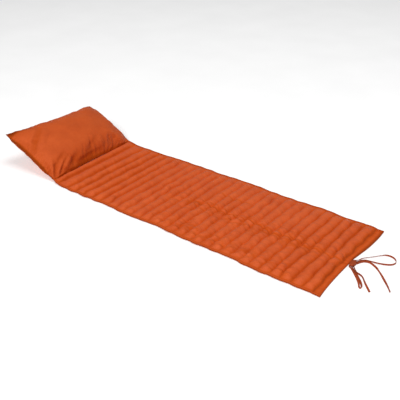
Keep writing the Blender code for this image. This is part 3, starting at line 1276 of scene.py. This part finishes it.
    def rows(self) -> tuple[np.ndarray, np.ndarray, np.ndarray, np.ndarray]:
        """The cuts along the pad.

        Returns:
            For each cut its place, its part of the channel, the channel and the channel's width.
        """
        seams = self.seams()
        found = []
        for channel, (start, end) in enumerate(zip(seams, seams[1:])):
            for t in self.steps:
                found.append((start + (end - start) * t, t, channel, end - start))
        last = len(seams) - 1
        for cut in self.foot_cuts:
            found.append((self.length - cut, 1 - cut / self.foot_strip, last, self.foot_strip))
        return tuple(np.array(column)[:, None] for column in zip(*found))

    def seam_wander(self, channel: np.ndarray, y: np.ndarray) -> np.ndarray:
        """How far a quilting seam strays from its place.

        Args:
            channel: The channel that starts at the seam.
            y: Places across the pad.

        Returns:
            The way that it strays along the pad.
        """
        slow = self.wander * np.sin(self.wander_turns[0] * channel + self.wander_turns[1] * y)
        quick = self.small_wander * self.small_wander_waves.at(channel * 1.0, y)
        chance = np.random.default_rng(self.askew_seed)
        askew = chance.uniform(-1, 1, (2, self.channels + 3)) * self.askew
        number = channel.astype(int)
        aside = 0.5 + y / (2 * self.half_width)
        skew = askew[0][number] * (1 - aside) + askew[1][number] * aside
        return np.where(channel > 0, slow + quick + skew, 0.0)

    def half(
        self, side: Side, from_seam: np.ndarray, gather: np.ndarray
    ) -> tuple[np.ndarray, np.ndarray]:
        """One side of the pad, from its middle line to its edge.

        Args:
            side: Its side.
            from_seam: The distance of each cut from the seam.
            gather: How far its seams draw the edge in.

        Returns:
            The places across the pad and their distances from the edge.
        """
        ripples = self.far_edge_waves if side is Side.FAR else self.near_edge_waves
        waves = ripples.at(np.zeros(from_seam.shape), from_seam)
        waves = self.edge_wave * waves * ease(from_seam / self.edge_wave_start)
        edge = follow(EDGE_ROWS, side.name.lower(), from_seam) - gather + waves
        even = np.linspace(0, 1, self.steps_aside + 1)[None, :-1]
        inner = even - self.closeness * np.sin(2 * np.pi * even) / (2 * np.pi)
        quilted = inner * (edge - self.hem_cuts[0])
        hem = edge - np.array(self.hem_cuts)[None, :]
        y = np.concatenate([quilted, hem], axis=1)
        return side.value * y, edge - y

    def grid(self) -> dict[str, np.ndarray]:
        """The pad's grid before its heights.

        Returns:
            Places, distances and parts for each of its points.
        """
        from_seam, t, channel, width = self.rows()
        in_foot_strip = channel > self.channels
        puff = np.abs(np.sin(np.pi * t)) ** self.edge_gather_taper
        gather = np.where(in_foot_strip, 0.0, self.edge_gather * (1 - puff))
        near, far = (self.half(side, from_seam, gather) for side in Side)
        y, from_edge = (
            np.concatenate([left[:, :0:-1], right], axis=1) for left, right in zip(near, far)
        )
        fullness = ease((from_edge - self.hem_width) / self.shoulder) ** self.shoulder_rise

        strays = (1 - t) * self.seam_wander(channel, y) + t * np.where(
            in_foot_strip, 0.0, self.seam_wander(channel + 1, y)
        )
        x = from_seam + strays * fullness
        x = x + np.where(channel == 0, (self.seam_line(y) - self.seams()[0]) * (1 - t), 0.0)
        x = x - np.where(in_foot_strip, t * follow(FOOT_ROWS, "set_back", y), 0.0)
        columns = {
            "x": x,
            "y": y,
            "t": t,
            "channel": channel,
            "from_seam": from_seam,
            "to_line": np.minimum(t, 1 - t) * width,
            "from_edge": from_edge,
            "from_foot": self.length - from_seam,
            "in_foot_strip": in_foot_strip,
            "fullness": fullness,
        }
        return {name: np.broadcast_to(values, x.shape) for name, values in columns.items()}

    def packing_folds(self, x: np.ndarray, y: np.ndarray) -> tuple[np.ndarray, np.ndarray]:
        """Presses the folds left from packing into the pad.

        Args:
            x: Distances from the seam.
            y: Places across the pad.

        Returns:
            How deep the folds are and how near their creases are.
        """
        total = np.zeros(x.shape)
        crease = np.zeros(x.shape)
        for fold in self.packing:
            depth, nearness = fold.press(x, y)
            total += depth
            crease = np.maximum(crease, nearness)
        return total, crease

    def creasing(self, x: np.ndarray, y: np.ndarray) -> np.ndarray:
        """How creased the cloth is, most beside the packing folds and towards the near side.

        Args:
            x: Distances from the seam.
            y: Places across the pad.

        Returns:
            How creased it is, 1 where it is least so.
        """
        beside_fold, near_side = (
            near_to(y - place, reach) for place, reach in (self.creased_by_fold, self.creased_near_side)
        )
        most = np.maximum(beside_fold, self.near_side_share * near_side)
        return 1.0 + self.more_creased * self.creased_stretch.share(x) * most

    def wrinkles(self, x: np.ndarray, y: np.ndarray) -> np.ndarray:
        """How deep the fine wrinkles are, which run where a ripple of the cloth crosses zero.

        Args:
            x: Places along the pad.
            y: Places across the pad.

        Returns:
            The depth in metres.
        """
        creasing = self.creasing(x, y)
        long = near_to(self.wrinkle_waves.at(x, y), self.wrinkle_line)
        short = near_to(self.short_wrinkle_waves.at(x, y), self.short_wrinkle_line)
        long = self.wrinkle * long * (creasing - self.wrinkle_rest)
        return long + self.short_wrinkle * short * (creasing - self.short_wrinkle_rest)

    def relief(self, from_seam: np.ndarray, y: np.ndarray) -> np.ndarray:
        """How plainly the channels show, least about the pad's middle and on its far side.

        Args:
            from_seam: Distances from the seam.
            y: Places across the pad.

        Returns:
            A share of the full relief.
        """
        to_far = ease((y - self.far_start) / self.far_rise)
        far_side = to_far * ease((self.far_end - from_seam) / self.far_fall)
        soft = 1 - self.soft_middle * self.soft_stretch.share(from_seam)
        return self.head_relief * soft * (1 - self.soft_far_side * far_side)

    def upper(self, grid: Mapping[str, np.ndarray]) -> np.ndarray:
        """The heights of the upper sheet.

        Args:
            grid: The pad's grid.

        Returns:
            A height for each point.
        """
        x, y, t, channel = (grid[name] for name in ("x", "y", "t", "channel"))
        to_foot = ease(grid["from_seam"] / self.length)
        filling_shift = self.head_shift + (self.foot_shift - self.head_shift) * to_foot
        puff = np.abs(np.sin(np.pi * t**filling_shift)) ** self.roundness
        uneven = sum(np.sin(turn * channel + aside * y) for turn, aside in self.uneven_turns)
        puff = puff * (1 + self.unevenness * uneven)
        puff = puff * (1 - self.edge_slack * near_to(grid["from_edge"], self.edge_reach))
        relief = np.minimum(1, self.relief(grid["from_seam"], y))
        filled = self.least_filling + (1 - self.least_filling) * relief
        z = self.groove + (self.crest - self.groove) * puff * filled

        own = x + channel * self.own_shift
        near_line = np.exp(-grid["to_line"] / self.pucker_reach)
        tucks = np.abs(self.pucker_waves.at(own, y))
        z -= self.pucker * near_line * (self.pucker_fullness - tucks)
        z += self.lump * self.lump_waves.at(own, y)
        z += self.crinkle * self.crinkle_waves.at(x, y) * self.creasing(x, y)
        z -= self.wrinkles(x, y)
        z -= self.packing_folds(grid["from_seam"], y)[0]
        folds = fold_depth(PAD_FOLDS, grid["from_seam"], y, (1, 1))
        z -= folds

        swell = np.sin(np.pi * t)
        strip = self.groove + (self.hem_top - self.groove) * t + self.strip_swell * swell
        strip -= self.pucker * np.abs(self.strip_waves.at(x, y)) * swell
        strip -= folds * self.strip_fold_share
        strip -= self.foot_hem_seam * near_to(grid["from_foot"] - self.hem_width, self.foot_hem_reach)
        z = np.where(grid["in_foot_strip"], strip, z)
        z = self.hem_top + (z - self.hem_top) * np.where(grid["in_foot_strip"], 1.0, grid["fullness"])
        z -= self.hem_seam * near_to(grid["from_edge"] - self.hem_width, self.hem_seam_width)
        in_hem = np.clip(grid["from_edge"] / self.hem_width, 0, 1)
        return z + self.hem_swell * np.sin(np.pi * in_hem)

    def lower(self, grid: Mapping[str, np.ndarray]) -> np.ndarray:
        """The heights of the lower sheet, flat on the floor between its seams.

        Args:
            grid: The pad's grid.

        Returns:
            A height for each point.
        """
        groove = self.base_groove * np.exp(-grid["to_line"] / self.base_groove_reach)
        base = np.where(grid["in_foot_strip"], self.hem_base, groove)
        return self.hem_base + (base - self.hem_base) * grid["fullness"]

    def shaded(self, grid: Mapping[str, np.ndarray], to_rim: np.ndarray) -> np.ndarray:
        """The painted shade of the cloth in its seams, valleys, creases and wrinkles, over its foot
        strip and at its rim.

        Args:
            grid: The pad's grid.
            to_rim: The distance of each point from the rim.

        Returns:
            A painted shade for each point, 0 where the cloth isn't darker.
        """
        from_seam, y, from_edge = grid["from_seam"], grid["y"], grid["from_edge"]
        shade = self.seam_shade * near_to(grid["to_line"], self.seam_reach)
        shade = shade + self.valley_shade * near_to(grid["to_line"], self.valley_reach)
        shade = shade * self.relief(from_seam, y)
        from_foot_seam = grid["from_foot"] - self.foot_strip
        shade += self.foot_seam_shade * near_to(from_foot_seam, self.foot_seam_reach)
        shade += self.crease_shade * self.packing_folds(from_seam, y)[1]
        shade += self.strip_shade * grid["in_foot_strip"]
        shade += self.wrinkle_shade * self.wrinkles(grid["x"], y)
        shade = shade * ease((from_edge - self.shade_start) / self.shade_rise)
        shade += self.hem_seam_shade * near_to(from_edge - self.hem_width, self.hem_seam_reach)
        rim_reach = np.where(y > 0, self.far_rim_reach, self.near_rim_reach)
        return np.maximum(near_to(to_rim, rim_reach), shade)

    def shape(self) -> tuple[dict[str, np.ndarray], np.ndarray, np.ndarray]:
        """Shapes both sheets, whose edge is rounded where they meet.

        Returns:
            The grid with its shades, and the places of the upper and the lower sheet.
        """
        grid = self.grid()
        top, base = self.upper(grid), self.lower(grid)
        clear = top - base - self.thinnest
        top = base + self.thinnest + (clear + np.sqrt(clear**2 + self.thin_ease**2)) / 2
        to_rim = np.minimum(grid["from_edge"], grid["from_foot"])
        # The painted shade of each point, which darkens the cloth
        grid["rim"] = self.shaded(grid, to_rim)[..., None]
        round_off = np.sqrt(1 - (1 - np.clip(to_rim / self.edge_radius, 0, 1)) ** 2)
        middle = (self.hem_top + self.hem_base) / 2
        lift = np.maximum(0, follow(LIFT_ROWS, "height", grid["from_seam"]))
        hem_wave = 1 + np.clip(self.hem_waves.at(grid["from_seam"], grid["y"] * 2), -1, 1)
        lift = lift + self.hem_lift * hem_wave * (1 - grid["fullness"])
        top, base = (middle + (height - middle) * round_off for height in (top, base))
        top[0] = self.head_end / 2
        upper, lower = (
            np.stack([SEAM_X + grid["x"], grid["y"], height + lift], axis=2) for height in (top, base)
        )
        return grid, upper, lower

    def build(self) -> bpy.types.Object:
        """Builds the pad and its stitching.

        Returns:
            The pad.
        """
        grid, upper, lower = self.shape()
        sheets = TwoSheets(*upper.shape[:2])
        uv = np.stack([grid["x"], grid["y"]], axis=2)
        pad = mesh_object(
            "quilted_pad", sheets.join(upper, lower), sheets.faces(), self.cloth.material(),
            sheets.join(uv, uv), sheets.join(grid["rim"], grid["rim"]),
        )
        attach(pad, "root")
        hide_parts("pad")
        LOG.info("quilted pad: %d points", len(pad.data.vertices))
        self.sew(grid, upper)
        return pad

    def sew(self, grid: Mapping[str, np.ndarray], upper: np.ndarray) -> None:
        """Sews the quilting seams and the hem with visible stitches.

        Args:
            grid: The pad's grid.
            upper: The places of its upper sheet.
        """
        lifted = upper + np.array([0.0, 0.0, self.stitch_lift])
        columns = slice(len(self.hem_cuts), -len(self.hem_cuts))
        along_sides = slice(3, -4)
        channel, t = grid["channel"][:, 0], grid["t"][:, 0]
        rows = np.flatnonzero((t < TINY) & (channel > 0))
        hem_column = len(self.hem_cuts) - 1 - self.hem_cuts.index(self.hem_width)
        hem_row = len(channel) - len(self.foot_cuts) + self.foot_cuts.index(self.hem_width)
        lines = {
            "quilting_stitches": [lifted[row, columns] for row in rows],
            "hem_stitches": [
                lifted[along_sides, hem_column],
                lifted[along_sides, -1 - hem_column],
                lifted[hem_row, hem_column:-hem_column],
            ],
        }
        thread = self.thread.material()
        for name, seams in lines.items():
            piece = Stitching().build(name, seams, thread)
            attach(piece, "root")
        LOG.info("stitching: %d quilting seams and the hem", len(rows))


PAD = Pad()


# How the pillow's cloth behaves while it is filled, by Blender's names
FILLING = {
    "quality": 6,
    "mass": 0.2,
    "tension_stiffness": 25,
    "compression_stiffness": 20,
    "shear_stiffness": 8,
    "bending_stiffness": 0.4,
    "tension_damping": 15,
    "compression_damping": 15,
    "use_pressure": True,
}


@dataclass
class Pillow:
    """The stuffed head pillow: two sheets sewn all round, filled, and resting on its belly.

    Its grid has s from 0 at the front seam to 1 at the head edge, and v from 0 at the near side to
    1 at the far side. The painted shade of folds is for one metre of their depth.
    """

    # The filled form and its flat cloth
    crown: float = 0.080
    belly: float = 0.092
    flatness: float = 2.6
    far_flatness: float = 3.6
    roundness: float = 0.66
    corner_roundness: float = 0.8
    gather: float = 0.5
    edge: float = 0.004
    side_draw_in: float = 0.004
    near_draw_in: float = 0.0012
    far_draw_in: float = 0.006
    corner_reach: float = 0.016
    head_draw_in: float = 0.020
    flat_length: float = 0.42
    flat_width: float = 0.62
    head_near: Corner = Corner(-0.356, -0.291, 0.171)
    head_far: Corner = Corner(-0.340, 0.300, 0.150)

    # The grid and the filling
    steps_long: int = 80
    steps_wide: int = 118
    slack: float = 0.93
    growth: float = 0.035
    pressure: float = 4.0
    frames: int = 20
    most_move: float = 0.014

    # How dark painted shade makes the seams, the folds, the low front and the near head tip
    rim_reach: float = 0.006
    front_rim_share: float = 0.5
    front_reach: float = 0.03
    fold_shade: float = 24.0
    foot_shade: float = 0.22
    foot_shade_rise: float = 0.12
    foot_shade_place: float = 0.42
    foot_shade_reach: float = 0.22
    tip_depth: float = 0.038
    tip_reach: float = 0.15

    # The gathers at the seams and the lumps, and the finish
    tuck: float = 0.0004
    tuck_reach: float = 0.016
    tuck_stretch: float = 0.1
    side_tucks: Ripples = Ripples(0.020, 0.4, seed=61)
    end_tucks: Ripples = Ripples(0.4, 0.026, seed=67)
    lump: float = 0.0016
    lump_start: float = 0.05
    lump_waves: Ripples = Ripples(0.11, 0.13, seed=71)
    # The pillow's colours are the pad's cloth painted about a seventh darker: painted shade for the
    # fuller light that falls on the pillow
    cloth: WovenCloth = WovenCloth(
        "pillow_weave", deep=(0.49, 0.064, 0.004), mid=(0.545, 0.077, 0.006), light=(0.60, 0.093, 0.010),
        shine=0.28, sheen=0.05, dull_from=0.40,
    )

    def dome(self, t: np.ndarray, flatness: np.ndarray | float) -> np.ndarray:
        """The rise of a stuffed cloth between two seams, 0 at both and 1 at the middle."""
        return (1 - np.abs(2 * t - 1) ** flatness) ** self.roundness

    def spread(self, t: np.ndarray) -> np.ndarray:
        """Draws the steps of a grid closer together at both seams."""
        return t + self.gather * (ease(t) - t)

    def parts(self) -> tuple[np.ndarray, np.ndarray]:
        """The grid's places.

        Returns:
            The s and the v of each point, rows from the head edge to the front seam.
        """
        s = self.spread(1 - np.linspace(0, 1, self.steps_long + 1))[:, None]
        v = self.spread(np.linspace(0, 1, self.steps_wide + 1))[None, :]
        return np.broadcast_arrays(s, v)

    def flat(self, s: np.ndarray, v: np.ndarray) -> tuple[np.ndarray, np.ndarray]:
        """The places on the flat cloth, in metres from the front seam and from the near side."""
        return s * self.flat_length, v * self.flat_width

    def to_seams(self, s: np.ndarray, v: np.ndarray) -> tuple[np.ndarray, np.ndarray]:
        """How far places of the flat cloth are from its nearest end and its nearest side."""
        return self.flat(np.minimum(s, 1 - s), np.minimum(v, 1 - v))

    def sheet(self, s: np.ndarray, v: np.ndarray, which: Sheet, slack: float) -> np.ndarray:
        """The places of one sheet, measured from the seam.

        Args:
            s: Parts of the way from the front seam to the head edge.
            v: Parts of the way from the near side to the far side.
            which: The upper or the lower sheet.
            slack: How full it is, 1 for the full height.

        Returns:
            A place for each part.
        """
        corners = [np.array(c) for c in (FRONT_NEAR, FRONT_FAR, self.head_near, self.head_far)]
        s3, v3 = s[..., None], v[..., None]
        front = corners[0] + (corners[1] - corners[0]) * v3
        head = corners[2] + (corners[3] - corners[2]) * v3
        place = front + (head - front) * s3
        middle = 2 * v - 1
        beside = np.abs(np.cos(np.pi / 2 * middle)) ** self.corner_roundness
        place[..., 0] += self.head_draw_in * s * beside
        beside = np.abs(np.sin(np.pi * s)) ** self.corner_roundness
        place[..., 1] -= self.side_draw_in * middle * beside
        flatness = np.where(middle > 0, self.far_flatness, self.flatness)
        rise = self.dome(s, self.flatness) * self.dome(v, flatness)
        to_head = (1 - s) * self.flat_length
        corner = near_to(np.hypot(to_head, self.to_seams(s, v)[1]), self.corner_reach)
        draw_in = np.where(middle > 0, self.far_draw_in, self.near_draw_in) * corner
        place[..., 0] += draw_in
        place[..., 1] -= draw_in * np.sign(middle)
        on_rim = (s < TINY) | (s > 1 - TINY) | (v < TINY) | (v > 1 - TINY)
        half_edge = np.where(on_rim, 0.0, self.edge / 2)
        height = self.crown if which is Sheet.UPPER else self.belly
        height = which.value * (half_edge + height * slack * rise)
        tilt = math.atan2(self.head_near.z - FRONT_NEAR.z, FRONT_NEAR.x - self.head_near.x)
        place[..., 0] += height * math.sin(tilt)
        place[..., 2] += height * math.cos(tilt)
        return place

    def shaded(self, s: np.ndarray, v: np.ndarray) -> np.ndarray:
        """The painted shade of the cloth in folds, by the seams and low on its front, most at the near
        head tip.

        Args:
            s: Parts of the way from the front seam to the head edge.
            v: Parts of the way from the near side to the far side.

        Returns:
            A painted shade for each place, from 0 to 1.
        """
        to_rim = np.minimum(*self.to_seams(s, v))
        at_front = 1 - self.front_rim_share * near_to(s, self.front_reach)
        rim = near_to(to_rim, self.rim_reach) * at_front
        to_head, from_near = (1 - s) * self.flat_length, v * self.flat_width
        # Painted shade along the head edge by the near tip, where the seam stands up
        tip = near_to(to_head, self.tip_depth) * near_to(from_near, self.tip_reach)
        folds = fold_depth(PILLOW_FOLDS, s, v, (self.flat_length, self.flat_width))
        # Painted shade low on the front, where it curls under towards the pad
        foot = self.foot_shade * near_to(s, self.foot_shade_rise)
        foot = foot * near_to(v - self.foot_shade_place, self.foot_shade_reach)
        return np.clip(np.maximum(rim, tip) + np.maximum(0, folds) * self.fold_shade + foot, 0, 1)

    def settle(self, place: np.ndarray) -> np.ndarray:
        """Keeps places off the pad and on or above the floor.

        Args:
            place: The places, measured from the seam.

        Returns:
            The places that are allowed.
        """
        settled = place.copy()
        settled[..., 0] = np.minimum(place[..., 0], PAD.seam_line(place[..., 1]) - GAP)
        settled[..., 2] = np.maximum(place[..., 2], 0.0)
        return settled

    def fill(self, body: bpy.types.Object, rim: np.ndarray) -> None:
        """Fills the pillow by cloth simulation, with its seam held and its move limited.

        Args:
            body: The pillow.
            rim: The numbers of the points in its seam.
        """
        start = places_of(body.data)
        group = body.vertex_groups.new(name="seam")
        group.add(rim.tolist(), 1.0, "REPLACE")
        modifier = body.modifiers.new("Filling", "CLOTH")
        for setting, value in FILLING.items():
            setattr(modifier.settings, setting, value)
        modifier.settings.uniform_pressure_force = self.pressure
        modifier.settings.shrink_min = -self.growth
        modifier.settings.vertex_group_mass = group.name
        modifier.settings.effector_weights.gravity = 0
        modifier.point_cache.frame_start = 1
        modifier.point_cache.frame_end = self.frames
        scene = bpy.context.scene
        for number in range(1, self.frames + 1):
            scene.frame_set(number)
        shown = body.evaluated_get(bpy.context.evaluated_depsgraph_get())
        move = places_of(shown.data) - start
        body.modifiers.remove(modifier)
        body.vertex_groups.remove(group)
        scene.frame_set(1)
        reach = np.linalg.norm(move, axis=1, keepdims=True)
        LOG.info("pillow filled: moved %.1f mm at most", reach.max() * 1000)
        limited = move * np.tanh(reach / self.most_move) * self.most_move / np.maximum(reach, TINY)
        put_places(body.data, start + limited)

    def press_folds(self, body: bpy.types.Object, s: np.ndarray, v: np.ndarray) -> None:
        """Presses the folds, lumps and the gathers at the seams into both sheets.

        Args:
            body: The pillow, settled.
            s: Parts of the way from the front seam to the head edge.
            v: Parts of the way from the near side to the far side.
        """
        place = places_of(body.data)
        normal = places_of(body.data, "normal")
        depth = np.zeros(len(place))
        folds = fold_depth(PILLOW_FOLDS, s, v, (self.flat_length, self.flat_width))
        depth[: s.size] += folds.ravel()
        to_end, to_side = self.to_seams(s, v)
        to_rim = np.minimum(to_end, to_side)
        inward = to_rim * np.exp(-to_rim / self.tuck_reach) / self.tuck_reach * math.e
        along, across = self.flat(s, v)
        along_sides = self.side_tucks.at(along, v * self.tuck_stretch)
        along_ends = self.end_tucks.at(s * self.tuck_stretch, across)
        tucks = self.tuck * inward * np.where(to_side < to_end, along_sides, along_ends)
        lumps = self.lump * self.lump_waves.at(along, across)
        lumps = lumps * ease(to_rim / self.lump_start)
        depth[: s.size] += (tucks + lumps).ravel()
        depth[s.size :] += tucks[1:-1, 1:-1].ravel()
        put_places(body.data, self.settle(place - normal * depth[:, None]))

    def crease_seam(self, mesh: bpy.types.Mesh, rim: np.ndarray) -> None:
        """Keeps the seam where it is when the surface between is smoothed.

        Args:
            mesh: The pillow's mesh.
            rim: The numbers of the points in its seam.
        """
        on_rim = np.zeros(len(mesh.vertices), dtype=bool)
        on_rim[rim] = True
        ends = np.empty(len(mesh.edges) * 2, dtype=np.int32)
        mesh.edges.foreach_get("vertices", ends)
        crease = mesh.attributes.new("crease_edge", "FLOAT", "EDGE")
        crease.data.foreach_set("value", on_rim[ends].reshape(-1, 2).all(axis=1).astype(np.float32))

    def build(self) -> bpy.types.Object:
        """Builds the pillow.

        Returns:
            The pillow.
        """
        s, v = self.parts()
        slack = self.slack
        upper, lower = (self.settle(self.sheet(s, v, which, slack)) for which in Sheet)
        from_seam = np.array([SEAM_X, 0.0, 0.0])
        sheets = TwoSheets(*s.shape)
        uv = np.stack(self.flat(s, v), axis=2)
        # The painted shade of each point, which darkens the cloth
        nearness = self.shaded(s, v)[..., None]
        pillow = mesh_object(
            "stuffed_pillow", sheets.join(upper, lower) + from_seam, sheets.faces(),
            self.cloth.material(), sheets.join(uv, uv), sheets.join(nearness, nearness),
        )
        rim = np.concatenate(
            [sheets.upper[0], sheets.upper[-1], sheets.upper[1:-1, 0], sheets.upper[1:-1, -1]]
        )
        self.fill(pillow, rim)
        put_places(pillow.data, self.settle(places_of(pillow.data) - from_seam))
        self.press_folds(pillow, s, v)
        put_places(pillow.data, places_of(pillow.data) + from_seam)
        self.crease_seam(pillow.data, rim)
        smooth = pillow.modifiers.new("Soft surface", "SUBSURF")
        smooth.levels = smooth.render_levels = 1
        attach(pillow, "root")
        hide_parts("pillow")
        LOG.info("stuffed pillow: %d points", len(pillow.data.vertices))
        return pillow


@dataclass
class Studio:
    """The pale floor, the soft lights and the camera."""

    camera_place: tuple = (1.798, -2.170, 1.5806)
    camera_aim: tuple = (-0.530, 0.6878, -0.496)
    lens: float = 59.2
    sensor: float = 36.0
    sight: float = 50.0
    floor_size: float = 14.0
    floor_drop: float = 0.0002
    key_place: tuple = (1.8, -8.0, 7.6)
    key_size: float = 4.2
    key_power: float = 720.0
    top_place: tuple = (1.9, 0.4, 8.0)
    top_size: float = 4.7
    top_power: float = 270.0
    surround: float = 0.25

    def place_camera(self) -> None:
        """Sets the camera at the photograph's angle."""
        data = bpy.data.cameras.new("camera")
        data.lens = self.lens
        data.sensor_width = self.sensor
        data.clip_end = self.sight
        camera = bpy.data.objects.new("camera", data)
        camera.location = self.camera_place
        camera.rotation_euler = Vector(self.camera_aim).to_track_quat("-Z", "Y").to_euler()
        bpy.context.scene.collection.objects.link(camera)
        bpy.context.scene.camera = camera

    def hang(self, name: str, place: tuple, size: float, power: float) -> None:
        """Hangs a round softbox that faces the middle of the floor.

        Args:
            name: The light's name.
            place: Where it hangs.
            size: How wide it is, in metres.
            power: Its power in watts.
        """
        data = bpy.data.lights.new(name, "AREA")
        data.shape = "DISK"
        data.size = size
        data.energy = power
        light = bpy.data.objects.new(name, data)
        light.location = place
        light.rotation_euler = (-Vector(place)).to_track_quat("-Z", "Y").to_euler()
        bpy.context.scene.collection.objects.link(light)

    def light(self) -> None:
        """Hangs the softboxes and sets the even light all round."""
        self.hang("key_light", self.key_place, self.key_size, self.key_power)
        self.hang("top_light", self.top_place, self.top_size, self.top_power)
        world = bpy.data.worlds.new("surround")
        world.use_nodes = True
        background = world.node_tree.nodes["Background"]
        background.inputs["Color"].default_value = (1.0, 1.0, 1.0, 1.0)
        background.inputs["Strength"].default_value = self.surround
        bpy.context.scene.world = world
        bpy.context.scene.view_settings.view_transform = "Standard"

    def lay_floor(self) -> None:
        """Lays the floor just under the cushion."""
        half = self.floor_size / 2
        corners = np.array([(-1, -1, 0), (1, -1, 0), (1, 1, 0), (-1, 1, 0)]) * half
        corners[:, 2] = -self.floor_drop
        floor = mesh_object("studio_floor", corners, [[0, 1, 2, 3]], PaleFloor().material())


def main() -> None:
    """Builds the cushion and its studio."""
    logging.basicConfig(level=logging.INFO, format="%(message)s")
    studio = Studio()
    studio.place_camera()
    Bow().build()
    LOG.info("bow: knot, two loops and two free ends")
    PAD.build()
    Pillow().build()
    studio.light()
    studio.lay_floor()


if __name__ == "__main__":
    main()
